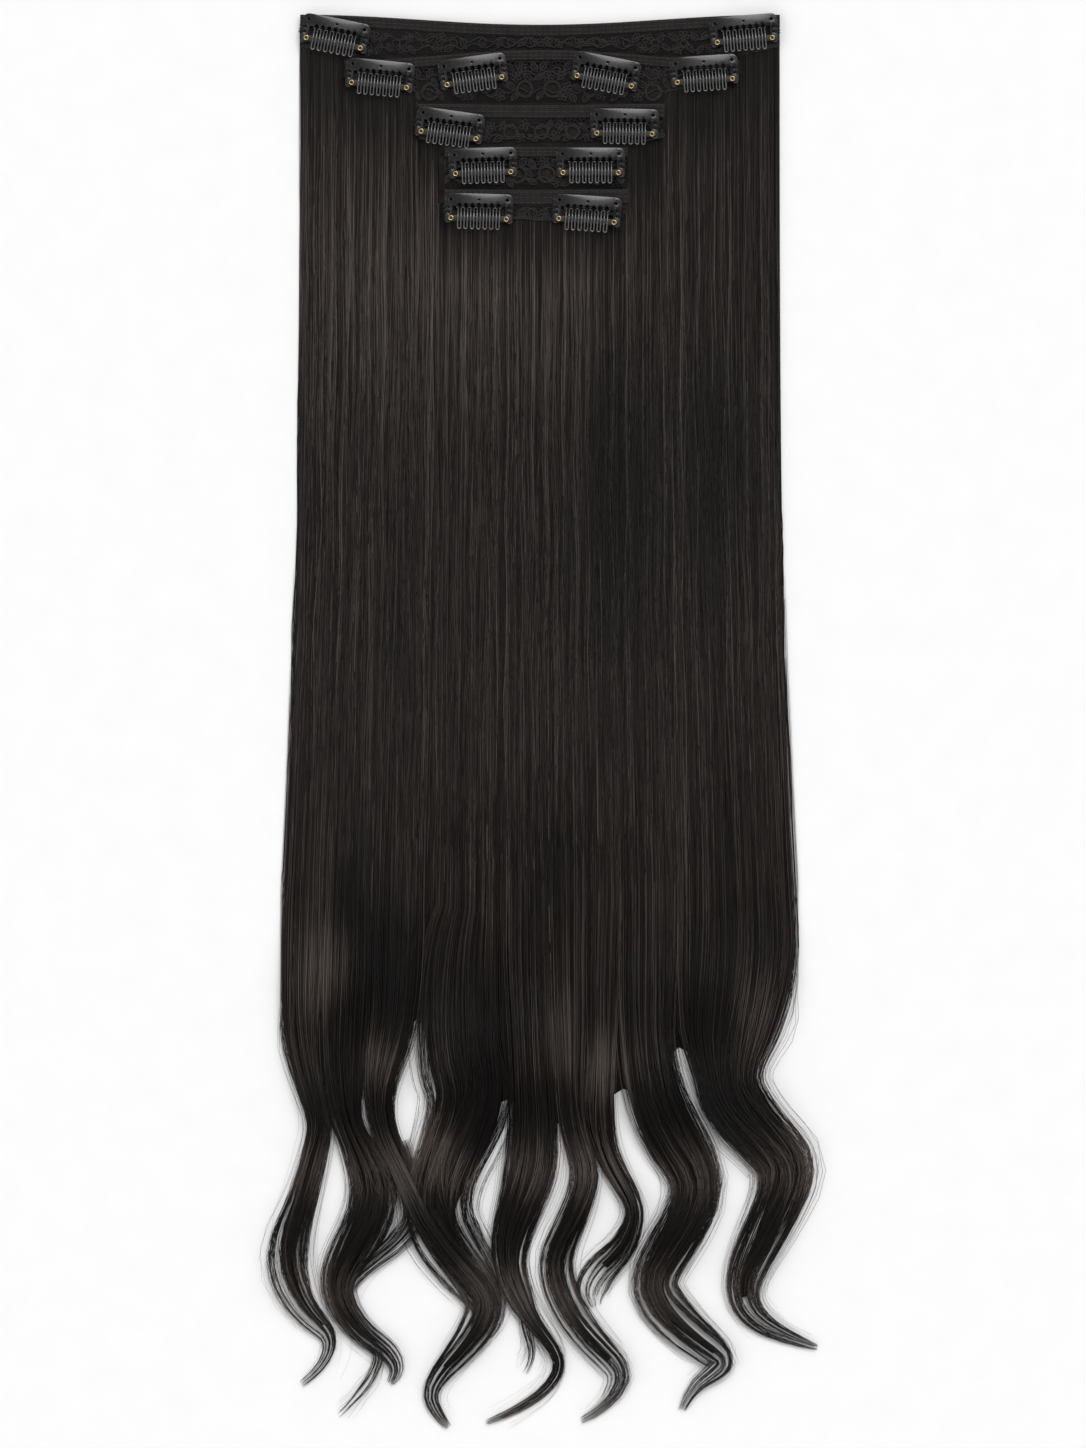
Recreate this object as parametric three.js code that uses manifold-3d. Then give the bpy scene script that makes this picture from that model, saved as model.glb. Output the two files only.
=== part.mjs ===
// A clip in hair extension: five rows of hair on lace backing, tiered one below the other,
// with twelve snap comb clips. It lies flat, hair down on z = 0, clips up (+Z), bands at +Y.
import * as THREE from "three";
import { mergeVertices } from "three/addons/utils/BufferGeometryUtils.js";
import Module from "manifold-3d";

const wasm = await Module();
wasm.setup();

// Driving sizes, in millimetres.
const BAND_WIDTH = 226; // the widest band, across
const STRAIGHT_LENGTH = 417.5; // from the top of the piece to where the waves begin
const WAVE_LENGTH = 250.5; // from there to the longest tip
const TIER_SPAN = 83; // from the top of the first band to the top of the last
const TOP_MARGIN = 0.8; // the clips stand above the first band by this
const BAND_HEIGHT = 5.6;
const BAND_THICKNESS = 1;
const LACE_THICKNESS = 1;
const HAIR_DEPTH = 2; // one row's hair, lying flat
const LOCK_WIDTH = 27; // an average lock, across
const LOCK_DEPTH = 6; // the same, from the floor to its crest
const GAP = 0.3; // between pieces that rest on each other
const LACE_CLEARANCE = 1; // between a lace panel's lower edge and the next row

// Sizes of one snap comb clip, in millimetres.
const CLIP_WIDTH = 32;
const CLIP_HEIGHT = 14;
const CLIP_CORNER = 2.8;
const ARCH_HEIGHT = 5.6;
const LEG_WIDTH = 3.7;
const PLATE = 0.8; // sheet thickness of the arch and legs
const BAR_HEIGHT = 3;
const BAR_DROP = 11.6; // the bar's centre below the clip's top edge
const BAR_THICKNESS = 0.6;
const RIVET_RADIUS = 1.3;
const RIVET_RISE = 0.4;
const SEWING_HOLE = 0.75; // radius of the holes that the thread goes through
const CENTRE_HOLE = 0.5;
const TEETH = 7;
const TOOTH_PITCH = 3;
const TOOTH_WIDTH = 1.6;
const TOOTH_REACH = 2.6; // how far the tips stand out below the legs
const WIRE = 0.5; // a tooth's thickness
const ROOT_SIDE = 0.7; // the square rod that the teeth grow from

const HALF = BAND_WIDTH / 2;
const TOP = (STRAIGHT_LENGTH + WAVE_LENGTH) / 2;
const WAVE_TOP = TOP - STRAIGHT_LENGTH;
const HOLE_SIDES = 6;
const RIVET_SIDES = 6;
const CURVE_STEPS = 8; // along a band, a lace edge and the top of a fall
const LOCK_STEPS = 14; // sections along a lock
const FALL_STEPS = 6; // sections along a fall of hair

// Each row of hair. left and right are the band's ends and footLeft and footRight the ends of
// its fall where the locks begin, all shares of HALF. drop places the band's top by TIER_SPAN,
// sag is how far its middle hangs and band its height, by BAND_HEIGHT. laceOuter and laceInner
// are how far down the lace goes at its ends and beside the next row, by TIER_SPAN.
const ROWS = [
  { left: -1.013, right: 0.984, footLeft: -1.075, footRight: 1.034, drop: 0, sag: 0.85, band: 1,
    laceOuter: 0.225, laceInner: 0.235 },
  { left: -0.826, right: 0.817, footLeft: -0.909, footRight: 0.88, drop: 0.263, sag: -0.85,
    band: 0.85, laceOuter: 0.405, laceInner: 0.445 },
  { left: -0.522, right: 0.505, footLeft: -0.701, footRight: 0.443, drop: 0.513, sag: 0.1,
    band: 1.15, laceOuter: 0.745, laceInner: 0.745 },
  { left: -0.443, right: 0.351, footLeft: -0.443, footRight: 0.235, drop: 0.758, sag: 0,
    band: 0.85, laceOuter: 0.99, laceInner: 0.99 },
  { left: -0.443, right: 0.351, footLeft: -0.306, footRight: 0.131, drop: 1, sag: 0.1,
    band: 1.25, laceOuter: 1.181, laceInner: 1.181 },
];

// Rows of openings in each lace panel: across and down are shares of the panel's half width
// and of its height there, and radius is in millimetres.
const LACE_OPENINGS = [
  [{ count: 11, from: -0.6, to: 0.6, down: 0.5, radius: 1.5 }],
  [
    { count: 14, from: -0.92, to: 0.92, down: 0.24, radius: 1.5 },
    { count: 2, from: -0.09, to: 0.05, down: 0.67, radius: 3.2 },
    { count: 2, from: -0.57, to: 0.56, down: 0.72, radius: 3.2 },
    { count: 2, from: -0.42, to: -0.26, down: 0.7, radius: 2.2 },
    { count: 2, from: 0.24, to: 0.4, down: 0.7, radius: 2.2 },
  ],
  [{ count: 7, from: -0.75, to: 0.75, down: 0.5, radius: 2.6 }],
  [{ count: 6, from: -0.75, to: 0.75, down: 0.55, radius: 3.2 }],
  [{ count: 7, from: -0.8, to: 0.8, down: 0.5, radius: 1.9 }],
];

// The clips: row, place across by HALF, centre below the top of the piece by TIER_SPAN, and
// tilt in degrees, clockwise.
const CLIPS = [
  { row: 0, across: -0.867, drop: 0.119, tilt: 11 },
  { row: 0, across: 0.834, drop: 0.102, tilt: -5 },
  { row: 1, across: -0.68, drop: 0.36, tilt: 5.5 },
  { row: 1, across: -0.293, drop: 0.337, tilt: -8 },
  { row: 1, across: 0.26, drop: 0.337, tilt: 11 },
  { row: 1, across: 0.668, drop: 0.334, tilt: -4 },
  { row: 2, across: -0.389, drop: 0.646, tilt: 8 },
  { row: 2, across: 0.337, drop: 0.637, tilt: 1 },
  { row: 3, across: -0.252, drop: 0.861, tilt: -2 },
  { row: 3, across: 0.196, drop: 0.86, tilt: 0 },
  { row: 4, across: -0.268, drop: 1.122, tilt: 1.5 },
  { row: 4, across: 0.181, drop: 1.133, tilt: 4 },
];

// The wavy locks, each from inside its row's fall to its tip. Columns: across by HALF, down by
// WAVE_LENGTH below where the waves begin, width by LOCK_WIDTH, depth by LOCK_DEPTH, and lift,
// the share of its row's height above the floor that it still has.
const LOCKS = [
  { row: 0, sections: [
    [-1, -0.06, 0.59, 0.3, 1], [-1.006, 0, 0.64, 0.35, 1], [-1.01, 0.113, 0.66, 0.6, 0],
    [-1.013, 0.244, 0.63, 0.7, 0], [-0.98, 0.338, 0.49, 0.6, 0], [-0.938, 0.413, 0.42, 0.5, 0],
    [-0.955, 0.469, 0.45, 0.5, 0], [-1.005, 0.563, 0.49, 0.5, 0], [-1.075, 0.672, 0.62, 0.5, 0],
    [-0.992, 0.771, 0.42, 0.4, 0], [-0.88, 0.818, 0.24, 0.3, 0], [-0.917, 0.874, 0.14, 0.25, 0],
    [-1.025, 0.916, 0.09, 0.2, 0]] },
  { row: 1, sections: [
    [-0.817, -0.038, 0.73, 0.3, 1], [-0.822, 0.047, 0.77, 0.4, 0.6], [-0.826, 0.159, 0.8, 0.8, 0],
    [-0.834, 0.263, 0.77, 0.9, 0], [-0.834, 0.356, 0.63, 0.8, 0], [-0.805, 0.437, 0.45, 0.8, 0],
    [-0.688, 0.55, 0.7, 0.8, 0], [-0.797, 0.657, 0.63, 0.7, 0], [-0.867, 0.73, 0.47, 0.6, 0],
    [-0.772, 0.809, 0.35, 0.4, 0], [-0.659, 0.846, 0.26, 0.35, 0], [-0.609, 0.882, 0.17, 0.25, 0],
    [-0.647, 0.912, 0.09, 0.2, 0]] },
  { row: 1, sections: [
    [-0.722, 0.827, 0.17, 0.3, 0], [-0.68, 0.867, 0.16, 0.3, 0], [-0.767, 0.927, 0.12, 0.25, 0],
    [-0.867, 0.976, 0.07, 0.2, 0]] },
  { row: 2, sections: [
    [-0.609, -0.013, 0.77, 0.3, 1], [-0.614, 0.075, 0.8, 0.4, 0.6], [-0.622, 0.188, 0.77, 0.8, 0.1],
    [-0.643, 0.263, 0.7, 0.9, 0], [-0.684, 0.347, 0.49, 0.8, 0], [-0.676, 0.422, 0.38, 0.7, 0],
    [-0.608, 0.488, 0.35, 0.7, 0], [-0.547, 0.544, 0.38, 0.7, 0], [-0.489, 0.6, 0.42, 0.7, 0],
    [-0.389, 0.666, 0.45, 0.6, 0], [-0.281, 0.722, 0.49, 0.6, 0], [-0.235, 0.771, 0.56, 0.6, 0],
    [-0.335, 0.839, 0.42, 0.5, 0], [-0.431, 0.886, 0.28, 0.4, 0], [-0.476, 0.929, 0.21, 0.3, 0],
    [-0.443, 0.964, 0.16, 0.25, 0], [-0.389, 0.996, 0.09, 0.2, 0]] },
  { row: 3, sections: [
    [-0.306, 0.009, 0.98, 0.3, 1], [-0.335, 0.094, 1.22, 0.4, 0.6], [-0.343, 0.206, 1.36, 0.8, 0.1],
    [-0.331, 0.3, 1.36, 0.9, 0], [-0.302, 0.375, 1.29, 0.9, 0], [-0.381, 0.469, 1.2, 0.8, 0],
    [-0.397, 0.535, 0.73, 0.7, 0], [-0.339, 0.6, 0.49, 0.6, 0], [-0.277, 0.647, 0.35, 0.4, 0],
    [-0.239, 0.679, 0.21, 0.3, 0]] },
  { row: 4, sections: [
    [-0.073, 0.034, 0.73, 0.3, 1], [-0.073, 0.113, 0.73, 0.4, 0.6], [-0.064, 0.225, 0.73, 0.8, 0.1],
    [-0.056, 0.319, 0.73, 0.8, 0], [-0.044, 0.413, 0.77, 0.8, 0], [-0.048, 0.499, 0.84, 0.7, 0],
    [-0.089, 0.563, 0.7, 0.6, 0], [-0.139, 0.63, 0.56, 0.5, 0], [-0.148, 0.687, 0.45, 0.5, 0],
    [-0.102, 0.743, 0.38, 0.4, 0], [-0.052, 0.788, 0.24, 0.35, 0], [0.031, 0.835, 0.17, 0.3, 0],
    [0.069, 0.878, 0.14, 0.25, 0], [-0.002, 0.925, 0.12, 0.25, 0], [-0.131, 0.961, 0.1, 0.2, 0],
    [-0.256, 0.985, 0.07, 0.2, 0]] },
  { row: 4, sections: [
    [-0.09, 0.756, 0.2, 0.3, 0], [-0.068, 0.812, 0.14, 0.25, 0], [-0.044, 0.854, 0.1, 0.2, 0],
    [-0.085, 0.895, 0.07, 0.2, 0]] },
  { row: 3, sections: [
    [0.102, 0.009, 0.52, 0.3, 1], [0.102, 0.094, 0.49, 0.4, 0.6], [0.106, 0.206, 0.49, 0.8, 0.1],
    [0.11, 0.3, 0.45, 0.8, 0], [0.114, 0.396, 0.42, 0.8, 0], [0.156, 0.469, 0.42, 0.7, 0],
    [0.185, 0.525, 0.47, 0.7, 0], [0.119, 0.604, 0.45, 0.6, 0], [0.04, 0.675, 0.45, 0.6, 0],
    [0.077, 0.747, 0.42, 0.5, 0], [0.164, 0.809, 0.38, 0.5, 0], [0.26, 0.854, 0.35, 0.4, 0],
    [0.327, 0.895, 0.31, 0.4, 0], [0.248, 0.951, 0.17, 0.3, 0], [0.139, 0.981, 0.09, 0.2, 0]] },
  { row: 2, sections: [
    [0.252, -0.013, 0.52, 0.3, 1], [0.248, 0.075, 0.49, 0.4, 0.6], [0.243, 0.188, 0.49, 0.8, 0.1],
    [0.243, 0.3, 0.49, 0.8, 0], [0.235, 0.403, 0.49, 0.8, 0], [0.264, 0.478, 0.35, 0.7, 0],
    [0.347, 0.544, 0.3, 0.6, 0], [0.385, 0.591, 0.3, 0.6, 0], [0.327, 0.655, 0.45, 0.6, 0],
    [0.235, 0.694, 0.49, 0.6, 0], [0.193, 0.735, 0.42, 0.5, 0], [0.218, 0.769, 0.17, 0.3, 0]] },
  { row: 1, sections: [
    [0.435, -0.038, 0.91, 0.3, 1], [0.435, 0.047, 0.91, 0.4, 0.6], [0.431, 0.159, 0.91, 0.8, 0],
    [0.431, 0.263, 0.87, 0.9, 0], [0.464, 0.366, 0.94, 0.9, 0], [0.543, 0.45, 0.98, 0.9, 0],
    [0.647, 0.533, 0.87, 0.8, 0], [0.568, 0.623, 0.84, 0.7, 0], [0.451, 0.707, 0.73, 0.7, 0],
    [0.51, 0.771, 0.63, 0.6, 0], [0.663, 0.831, 0.49, 0.5, 0], [0.767, 0.871, 0.35, 0.4, 0],
    [0.639, 0.908, 0.21, 0.3, 0], [0.568, 0.968, 0.1, 0.2, 0]] },
  { row: 0, sections: [
    [0.797, -0.06, 1.95, 0.3, 1], [0.8, 0, 1.98, 0.33, 1], [0.805, 0.113, 2.02, 0.6, 0],
    [0.767, 0.244, 1.71, 0.7, 0], [0.763, 0.328, 1.18, 0.8, 0], [0.797, 0.385, 1.15, 0.8, 0],
    [0.917, 0.45, 1.05, 0.8, 0], [1.009, 0.499, 1.01, 0.8, 0], [0.98, 0.567, 0.77, 0.7, 0],
    [0.905, 0.638, 0.66, 0.6, 0], [0.826, 0.72, 0.52, 0.5, 0], [0.867, 0.78, 0.38, 0.4, 0],
    [1.005, 0.818, 0.21, 0.3, 0], [1.163, 0.844, 0.07, 0.2, 0]] },
];

const finish = (color, roughness, metalness) =>
  new THREE.MeshStandardMaterial({ color, roughness, metalness });
const hairFinish = finish(0x2a2522, 0.45, 0);
const laceFinish = finish(0x1c1b1d, 0.9, 0);
const bandFinish = finish(0x17161a, 0.85, 0);
const clipFinish = finish(0x0d0d0f, 0.3, 0.6);

// The solid of a geometry, for joining.
function solidOf(geometry) {
  const bare = geometry.clone();
  bare.deleteAttribute("normal");
  bare.deleteAttribute("uv");
  const merged = mergeVertices(bare, 1e-4);
  return new wasm.Manifold(
    new wasm.Mesh({
      numProp: 3,
      vertProperties: new Float32Array(merged.attributes.position.array),
      triVerts: new Uint32Array(merged.index.array),
    }),
  );
}

// One geometry that joins several that run into each other.
function joined(geometries) {
  const whole = geometries.map(solidOf).reduce((all, next) => all.add(next));
  const mesh = whole.getMesh();
  const geometry = new THREE.BufferGeometry();
  geometry.setAttribute("position", new THREE.BufferAttribute(mesh.vertProperties, 3));
  geometry.setIndex(new THREE.BufferAttribute(mesh.triVerts, 1));
  geometry.computeVertexNormals();
  return geometry;
}

// A flat outline raised to a thickness from a height.
function plate(shape, from, thickness, curveSegments = 3) {
  const options = { depth: thickness, bevelEnabled: false, curveSegments };
  return new THREE.ExtrudeGeometry(shape, options).translate(0, 0, from);
}

// A closed body through rings of points, all with the same number of corners.
function loft(rings) {
  const corners = rings[0].length;
  const positions = rings.flat().flatMap((point) => point.toArray());
  const faces = [];
  for (let ring = 0; ring < rings.length - 1; ring++) {
    for (let corner = 0; corner < corners; corner++) {
      const a = ring * corners + corner;
      const b = ring * corners + ((corner + 1) % corners);
      faces.push(a, b, b + corners, a, b + corners, a + corners);
    }
  }
  const last = (rings.length - 1) * corners;
  for (let corner = 1; corner < corners - 1; corner++) {
    faces.push(0, corner + 1, corner, last, last + corner, last + corner + 1);
  }
  const geometry = new THREE.BufferGeometry();
  geometry.setAttribute("position", new THREE.Float32BufferAttribute(positions, 3));
  geometry.setIndex(faces);
  geometry.computeVertexNormals();
  return geometry;
}

const mix = (from, to, share) => from + (to - from) * share;

// Heights of each row's layers, stacked from the floor.
function layersOf(row) {
  const floor = row * (HAIR_DEPTH + GAP);
  const lace = floor + HAIR_DEPTH + GAP;
  return { floor, lace, seat: lace + Math.max(LACE_THICKNESS, BAND_THICKNESS) + GAP };
}

// The Y of a band's top edge at an X.
function bandTop(row, x) {
  const share = (x / HALF - row.left) / (row.right - row.left);
  const hang = (1 - Math.cos(2 * Math.PI * share)) / 2;
  return TOP - TOP_MARGIN - row.drop * TIER_SPAN - row.sag * BAND_HEIGHT * hang;
}

const bandBottom = (row, x) => bandTop(row, x) - row.band * BAND_HEIGHT;

// Evenly spaced X values from one end of a row to the other.
const stepsAcross = (row) =>
  Array.from({ length: CURVE_STEPS + 1 }, (_, i) => HALF * mix(row.left, row.right, i / CURVE_STEPS));

function weftBand(row, layers) {
  const xs = stepsAcross(row);
  const top = xs.map((x) => new THREE.Vector2(x, bandTop(row, x)));
  const bottom = xs.map((x) => new THREE.Vector2(x, bandBottom(row, x)));
  return plate(new THREE.Shape([...bottom, ...top.reverse()]), layers.lace, BAND_THICKNESS);
}

// The Y of a lace panel's lower edge: it stops at the next row's band, and hangs free beside it.
function laceBottom(row, next, x) {
  const margin = 2 * GAP;
  const beside = !next || x < next.left * HALF - margin || x > next.right * HALF + margin;
  if (!beside) {
    const along = THREE.MathUtils.clamp(x, next.left * HALF, next.right * HALF);
    return bandTop(next, along) + LACE_CLEARANCE;
  }
  const end = x < 0 ? row.left : row.right;
  const inner = next ? (x < 0 ? next.left : next.right) : 0;
  const share = (x / HALF - end) / (inner - end || 1);
  return TOP - TOP_MARGIN - TIER_SPAN * mix(row.laceOuter, row.laceInner, share);
}

function lacePanel(row, next, openings, layers) {
  const inner = next ? [next.left * HALF - 4 * GAP, next.left * HALF, next.right * HALF] : [];
  if (next) inner.push(next.right * HALF + 4 * GAP);
  const ends = [row.left * HALF, row.right * HALF];
  const within = (x) => x >= ends[0] && x <= ends[1];
  const lower = [...new Set([...stepsAcross(row), ...inner.filter(within)])].sort((a, b) => a - b);
  const outline = lower.map((x) => new THREE.Vector2(x, laceBottom(row, next, x)));
  for (const x of stepsAcross(row).reverse()) {
    outline.push(new THREE.Vector2(x, bandBottom(row, x) - GAP));
  }
  const shape = new THREE.Shape(outline);
  for (const { count, from, to, down, radius } of openings) {
    for (let i = 0; i < count; i++) {
      const share = (1 + mix(from, to, i / (count - 1))) / 2;
      const x = HALF * mix(row.left, row.right, share);
      const y = mix(bandBottom(row, x) - GAP, laceBottom(row, next, x), down);
      shape.holes.push(new THREE.Path().absarc(x, y, radius, 0, 2 * Math.PI, true));
    }
  }
  return plate(shape, layers.lace, LACE_THICKNESS, HOLE_SIDES / 2);
}

// The straight part of a row's hair: a flat fall with thin edges, from under the band to
// where its locks begin.
function straightFall(row, index, layers) {
  const foot = WAVE_TOP - WAVE_LENGTH * mix(-0.038, 0.06, index / (ROWS.length - 1));
  const across = [0, 0.05, 0.2, 0.4, 0.6, 0.8, 0.95, 1];
  const edge = 0.4; // share of the depth left at the two long edges
  const rings = [];
  for (let step = 0; step <= FALL_STEPS; step++) {
    const down = step / FALL_STEPS;
    const flare = down ** 3;
    const left = HALF * mix(row.left, row.footLeft, flare);
    const right = HALF * mix(row.right, row.footRight, flare);
    const line = across.map((share) => {
      const x = mix(left, right, share);
      const topX = HALF * mix(row.left, row.right, share);
      const rise = share === 0 || share === 1 ? edge * HAIR_DEPTH : HAIR_DEPTH;
      return { x, y: mix(bandTop(row, topX), foot, down), rise };
    });
    const upper = line.map(({ x, y, rise }) => new THREE.Vector3(x, y, layers.floor + rise));
    const lower = line.map(({ x, y }) => new THREE.Vector3(x, y, layers.floor));
    rings.push([...lower, ...upper.reverse()]);
  }
  return loft(rings);
}

// One wavy lock: a lens-shaped section carried along a smooth line through its table's places.
function lock(sections, floor) {
  const places = sections.map(
    ([across, down]) => new THREE.Vector3(across * HALF, WAVE_TOP - down * WAVE_LENGTH, 0),
  );
  const line = new THREE.CatmullRomCurve3(places, false, "catmullrom", 0.5);
  const spans = sections.length - 1;
  const steps = Math.min(LOCK_STEPS, 2 * spans);
  const rings = [];
  for (let step = 0; step <= steps; step++) {
    const share = step / steps;
    const span = Math.min(Math.floor(share * spans), spans - 1);
    const column = (c) => mix(sections[span][c], sections[span + 1][c], share * spans - span);
    const centre = line.getPoint(share);
    const ahead = line.getTangent(share);
    const side = new THREE.Vector3(-ahead.y, ahead.x, 0).normalize();
    const width = column(2) * LOCK_WIDTH;
    const depth = column(3) * LOCK_DEPTH;
    const lens = [[-0.5, 0.35], [-0.32, 0], [0.32, 0], [0.5, 0.35], [0.24, 1], [-0.24, 1]];
    const low = column(4) * floor;
    rings.push(
      lens.map(([out, up]) =>
        centre.clone().addScaledVector(side, out * width).setZ(low + up * depth),
      ),
    );
  }
  return loft(rings);
}

// The arch plate with its two legs, around the open window.
function clipFrame() {
  const side = CLIP_WIDTH / 2;
  const top = CLIP_HEIGHT / 2;
  const window = side - LEG_WIDTH;
  const lip = top - ARCH_HEIGHT;
  const foot = LEG_WIDTH / 3;
  const shape = new THREE.Shape()
    .moveTo(-window, lip)
    .lineTo(-window, -top)
    .lineTo(-side + foot, -top)
    .lineTo(-side, -top + foot)
    .lineTo(-side, top - CLIP_CORNER)
    .absarc(-side + CLIP_CORNER, top - CLIP_CORNER, CLIP_CORNER, Math.PI, Math.PI / 2, true)
    .lineTo(side - CLIP_CORNER, top)
    .absarc(side - CLIP_CORNER, top - CLIP_CORNER, CLIP_CORNER, Math.PI / 2, 0, true)
    .lineTo(side, -top + foot)
    .lineTo(side - foot, -top)
    .lineTo(window, -top)
    .lineTo(window, lip);
  const pierce = (x, y, radius) =>
    shape.holes.push(new THREE.Path().absarc(x, y, radius, 0, 2 * Math.PI, false));
  const legMiddle = side - LEG_WIDTH / 2;
  for (const mirror of [-1, 1]) {
    pierce(mirror * (side - CLIP_CORNER), top - CLIP_CORNER, SEWING_HOLE);
    pierce(mirror * legMiddle, lip - 0.6, SEWING_HOLE);
    pierce(mirror * legMiddle, lip - 3, SEWING_HOLE);
  }
  pierce(0, top - ARCH_HEIGHT / 2, CENTRE_HOLE);
  return plate(shape, 0, PLATE, HOLE_SIDES / 2);
}

// The crossbar on the legs' ends, with the heads of its two rivets.
function clipBar() {
  const legMiddle = CLIP_WIDTH / 2 - LEG_WIDTH / 2;
  const y = CLIP_HEIGHT / 2 - BAR_DROP;
  const from = PLATE + GAP;
  const round = BAR_HEIGHT / 2;
  const reach = legMiddle - 0.3;
  const shape = new THREE.Shape()
    .moveTo(-reach, y - round)
    .lineTo(reach, y - round)
    .absarc(reach, y, round, -Math.PI / 2, Math.PI / 2, false)
    .lineTo(-reach, y + round)
    .absarc(-reach, y, round, Math.PI / 2, (3 * Math.PI) / 2, false);
  const heads = [-1, 1].map((mirror) =>
    new THREE.CylinderGeometry(RIVET_RADIUS, RIVET_RADIUS, BAR_THICKNESS + RIVET_RISE, RIVET_SIDES)
      .rotateX(Math.PI / 2)
      .translate(mirror * (legMiddle - 1.2), y, from + (BAR_THICKNESS + RIVET_RISE) / 2),
  );
  return joined([plate(shape, from, BAR_THICKNESS, 2), ...heads]);
}

// Where the comb turns: the middle of its root rod, just under the arch's lower edge.
const HINGE_Y = CLIP_HEIGHT / 2 - ARCH_HEIGHT - GAP - ROOT_SIDE / 2 - 0.15;
const HINGE_Z = 0.1 + ROOT_SIDE / 2;

// The row of teeth on its root rod. Each tooth rises over the crossbar and reaches past it.
function clipComb() {
  const rodLength = CLIP_WIDTH - 2 * LEG_WIDTH - 2 * GAP;
  const rod = new THREE.BoxGeometry(rodLength, ROOT_SIDE, ROOT_SIDE).translate(0, HINGE_Y, HINGE_Z);
  const over = PLATE + BAR_THICKNESS + 3 * GAP;
  const barTop = CLIP_HEIGHT / 2 - BAR_DROP + BAR_HEIGHT / 2;
  const tip = -CLIP_HEIGHT / 2 - TOOTH_REACH;
  const sideView = new THREE.Shape([
    new THREE.Vector2(HINGE_Y + 0.2, HINGE_Z - 0.25),
    new THREE.Vector2(HINGE_Y + 0.2, HINGE_Z + 0.25),
    new THREE.Vector2(barTop + GAP + 0.2, over + WIRE),
    new THREE.Vector2(tip, over),
    new THREE.Vector2(barTop + GAP, over),
  ]);
  const teeth = Array.from({ length: TEETH }, (_, i) => {
    const x = (i - (TEETH - 1) / 2) * TOOTH_PITCH;
    const options = { depth: TOOTH_WIDTH, bevelEnabled: false };
    return new THREE.ExtrudeGeometry(sideView, options)
      .rotateX(Math.PI / 2)
      .rotateZ(Math.PI / 2)
      .translate(x - TOOTH_WIDTH / 2, 0, 0);
  });
  return joined([rod, ...teeth]);
}

const extension = new THREE.Group();

function addPiece(name, geometry, material, parent = extension) {
  const mesh = new THREE.Mesh(geometry, material);
  mesh.name = name;
  parent.add(mesh);
}

ROWS.forEach((row, index) => {
  const layers = layersOf(index);
  const next = ROWS[index + 1];
  const locks = LOCKS.filter((one) => one.row === index).map((one) => lock(one.sections, layers.floor));
  const fall = joined([straightFall(row, index, layers), ...locks]);
  addPiece(`hair_fall_${index + 1}`, fall, hairFinish);
  addPiece(`weft_band_${index + 1}`, weftBand(row, layers), bandFinish);
  const panel = lacePanel(row, next, LACE_OPENINGS[index], layers);
  addPiece(`lace_panel_${index + 1}`, panel, laceFinish);
});

CLIPS.forEach(({ row, across, drop, tilt }, index) => {
  const clip = new THREE.Group();
  clip.position.set(across * HALF, TOP - drop * TIER_SPAN, layersOf(row).seat);
  clip.rotation.z = THREE.MathUtils.degToRad(-tilt);
  addPiece(`clip_frame_${index + 1}`, clipFrame(), clipFinish, clip);
  addPiece(`clip_bar_${index + 1}`, clipBar(), clipFinish, clip);
  addPiece(`clip_comb_${index + 1}`, clipComb(), clipFinish, clip);
  extension.add(clip);
});

// The origin is on the floor under the middle of the whole piece.
const middle = new THREE.Box3().setFromObject(extension).getCenter(new THREE.Vector3());
extension.position.set(-middle.x, -middle.y, 0);

const root = new THREE.Group();
root.add(extension);
export default root;
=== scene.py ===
"""The looks of a clip in hair extension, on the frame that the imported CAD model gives.

The hair lies flat on a pale floor, clips up and bands at +Y, seen from straight above. Sizes are in
millimetres in the part's own measures, and become metres in the shared frame when a mesh is made.
"""

from __future__ import annotations

import logging
import math
from dataclasses import dataclass, field
from enum import Enum

import bmesh
import bpy
import numpy as np
from mathutils import Matrix, Vector


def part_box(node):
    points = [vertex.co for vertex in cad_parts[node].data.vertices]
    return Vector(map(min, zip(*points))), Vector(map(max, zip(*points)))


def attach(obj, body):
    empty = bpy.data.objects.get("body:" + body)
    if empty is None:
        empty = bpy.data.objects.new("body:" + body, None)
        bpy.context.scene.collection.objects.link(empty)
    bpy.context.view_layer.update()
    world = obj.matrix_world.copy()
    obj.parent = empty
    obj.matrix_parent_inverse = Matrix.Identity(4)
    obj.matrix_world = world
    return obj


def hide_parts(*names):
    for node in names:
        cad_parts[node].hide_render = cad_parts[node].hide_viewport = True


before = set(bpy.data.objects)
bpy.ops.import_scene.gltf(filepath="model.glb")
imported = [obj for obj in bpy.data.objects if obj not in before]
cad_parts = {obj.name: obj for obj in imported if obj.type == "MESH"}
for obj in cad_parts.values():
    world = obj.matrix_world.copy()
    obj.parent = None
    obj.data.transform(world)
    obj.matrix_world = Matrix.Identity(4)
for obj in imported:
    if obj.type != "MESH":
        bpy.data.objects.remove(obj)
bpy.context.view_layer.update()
LOG = logging.getLogger("hair_extension")

Material, Mesh, Node = bpy.types.Material, bpy.types.Mesh, bpy.types.Node
Object, Socket = bpy.types.Object, bpy.types.NodeSocket
# A body is its points, faces and flow coordinates. Strands are their points, radii and tones.
Body = tuple[np.ndarray, list, np.ndarray]
Strands = tuple[np.ndarray, np.ndarray, np.ndarray]

MM = 0.001
BODY = "extension"
# How much the painted highlight and shade spots count, and the shade painted on the hair behind the lace.
PAINTED_LIGHT_GAIN = 1.5
LACE_SHADE = 0.45


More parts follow.
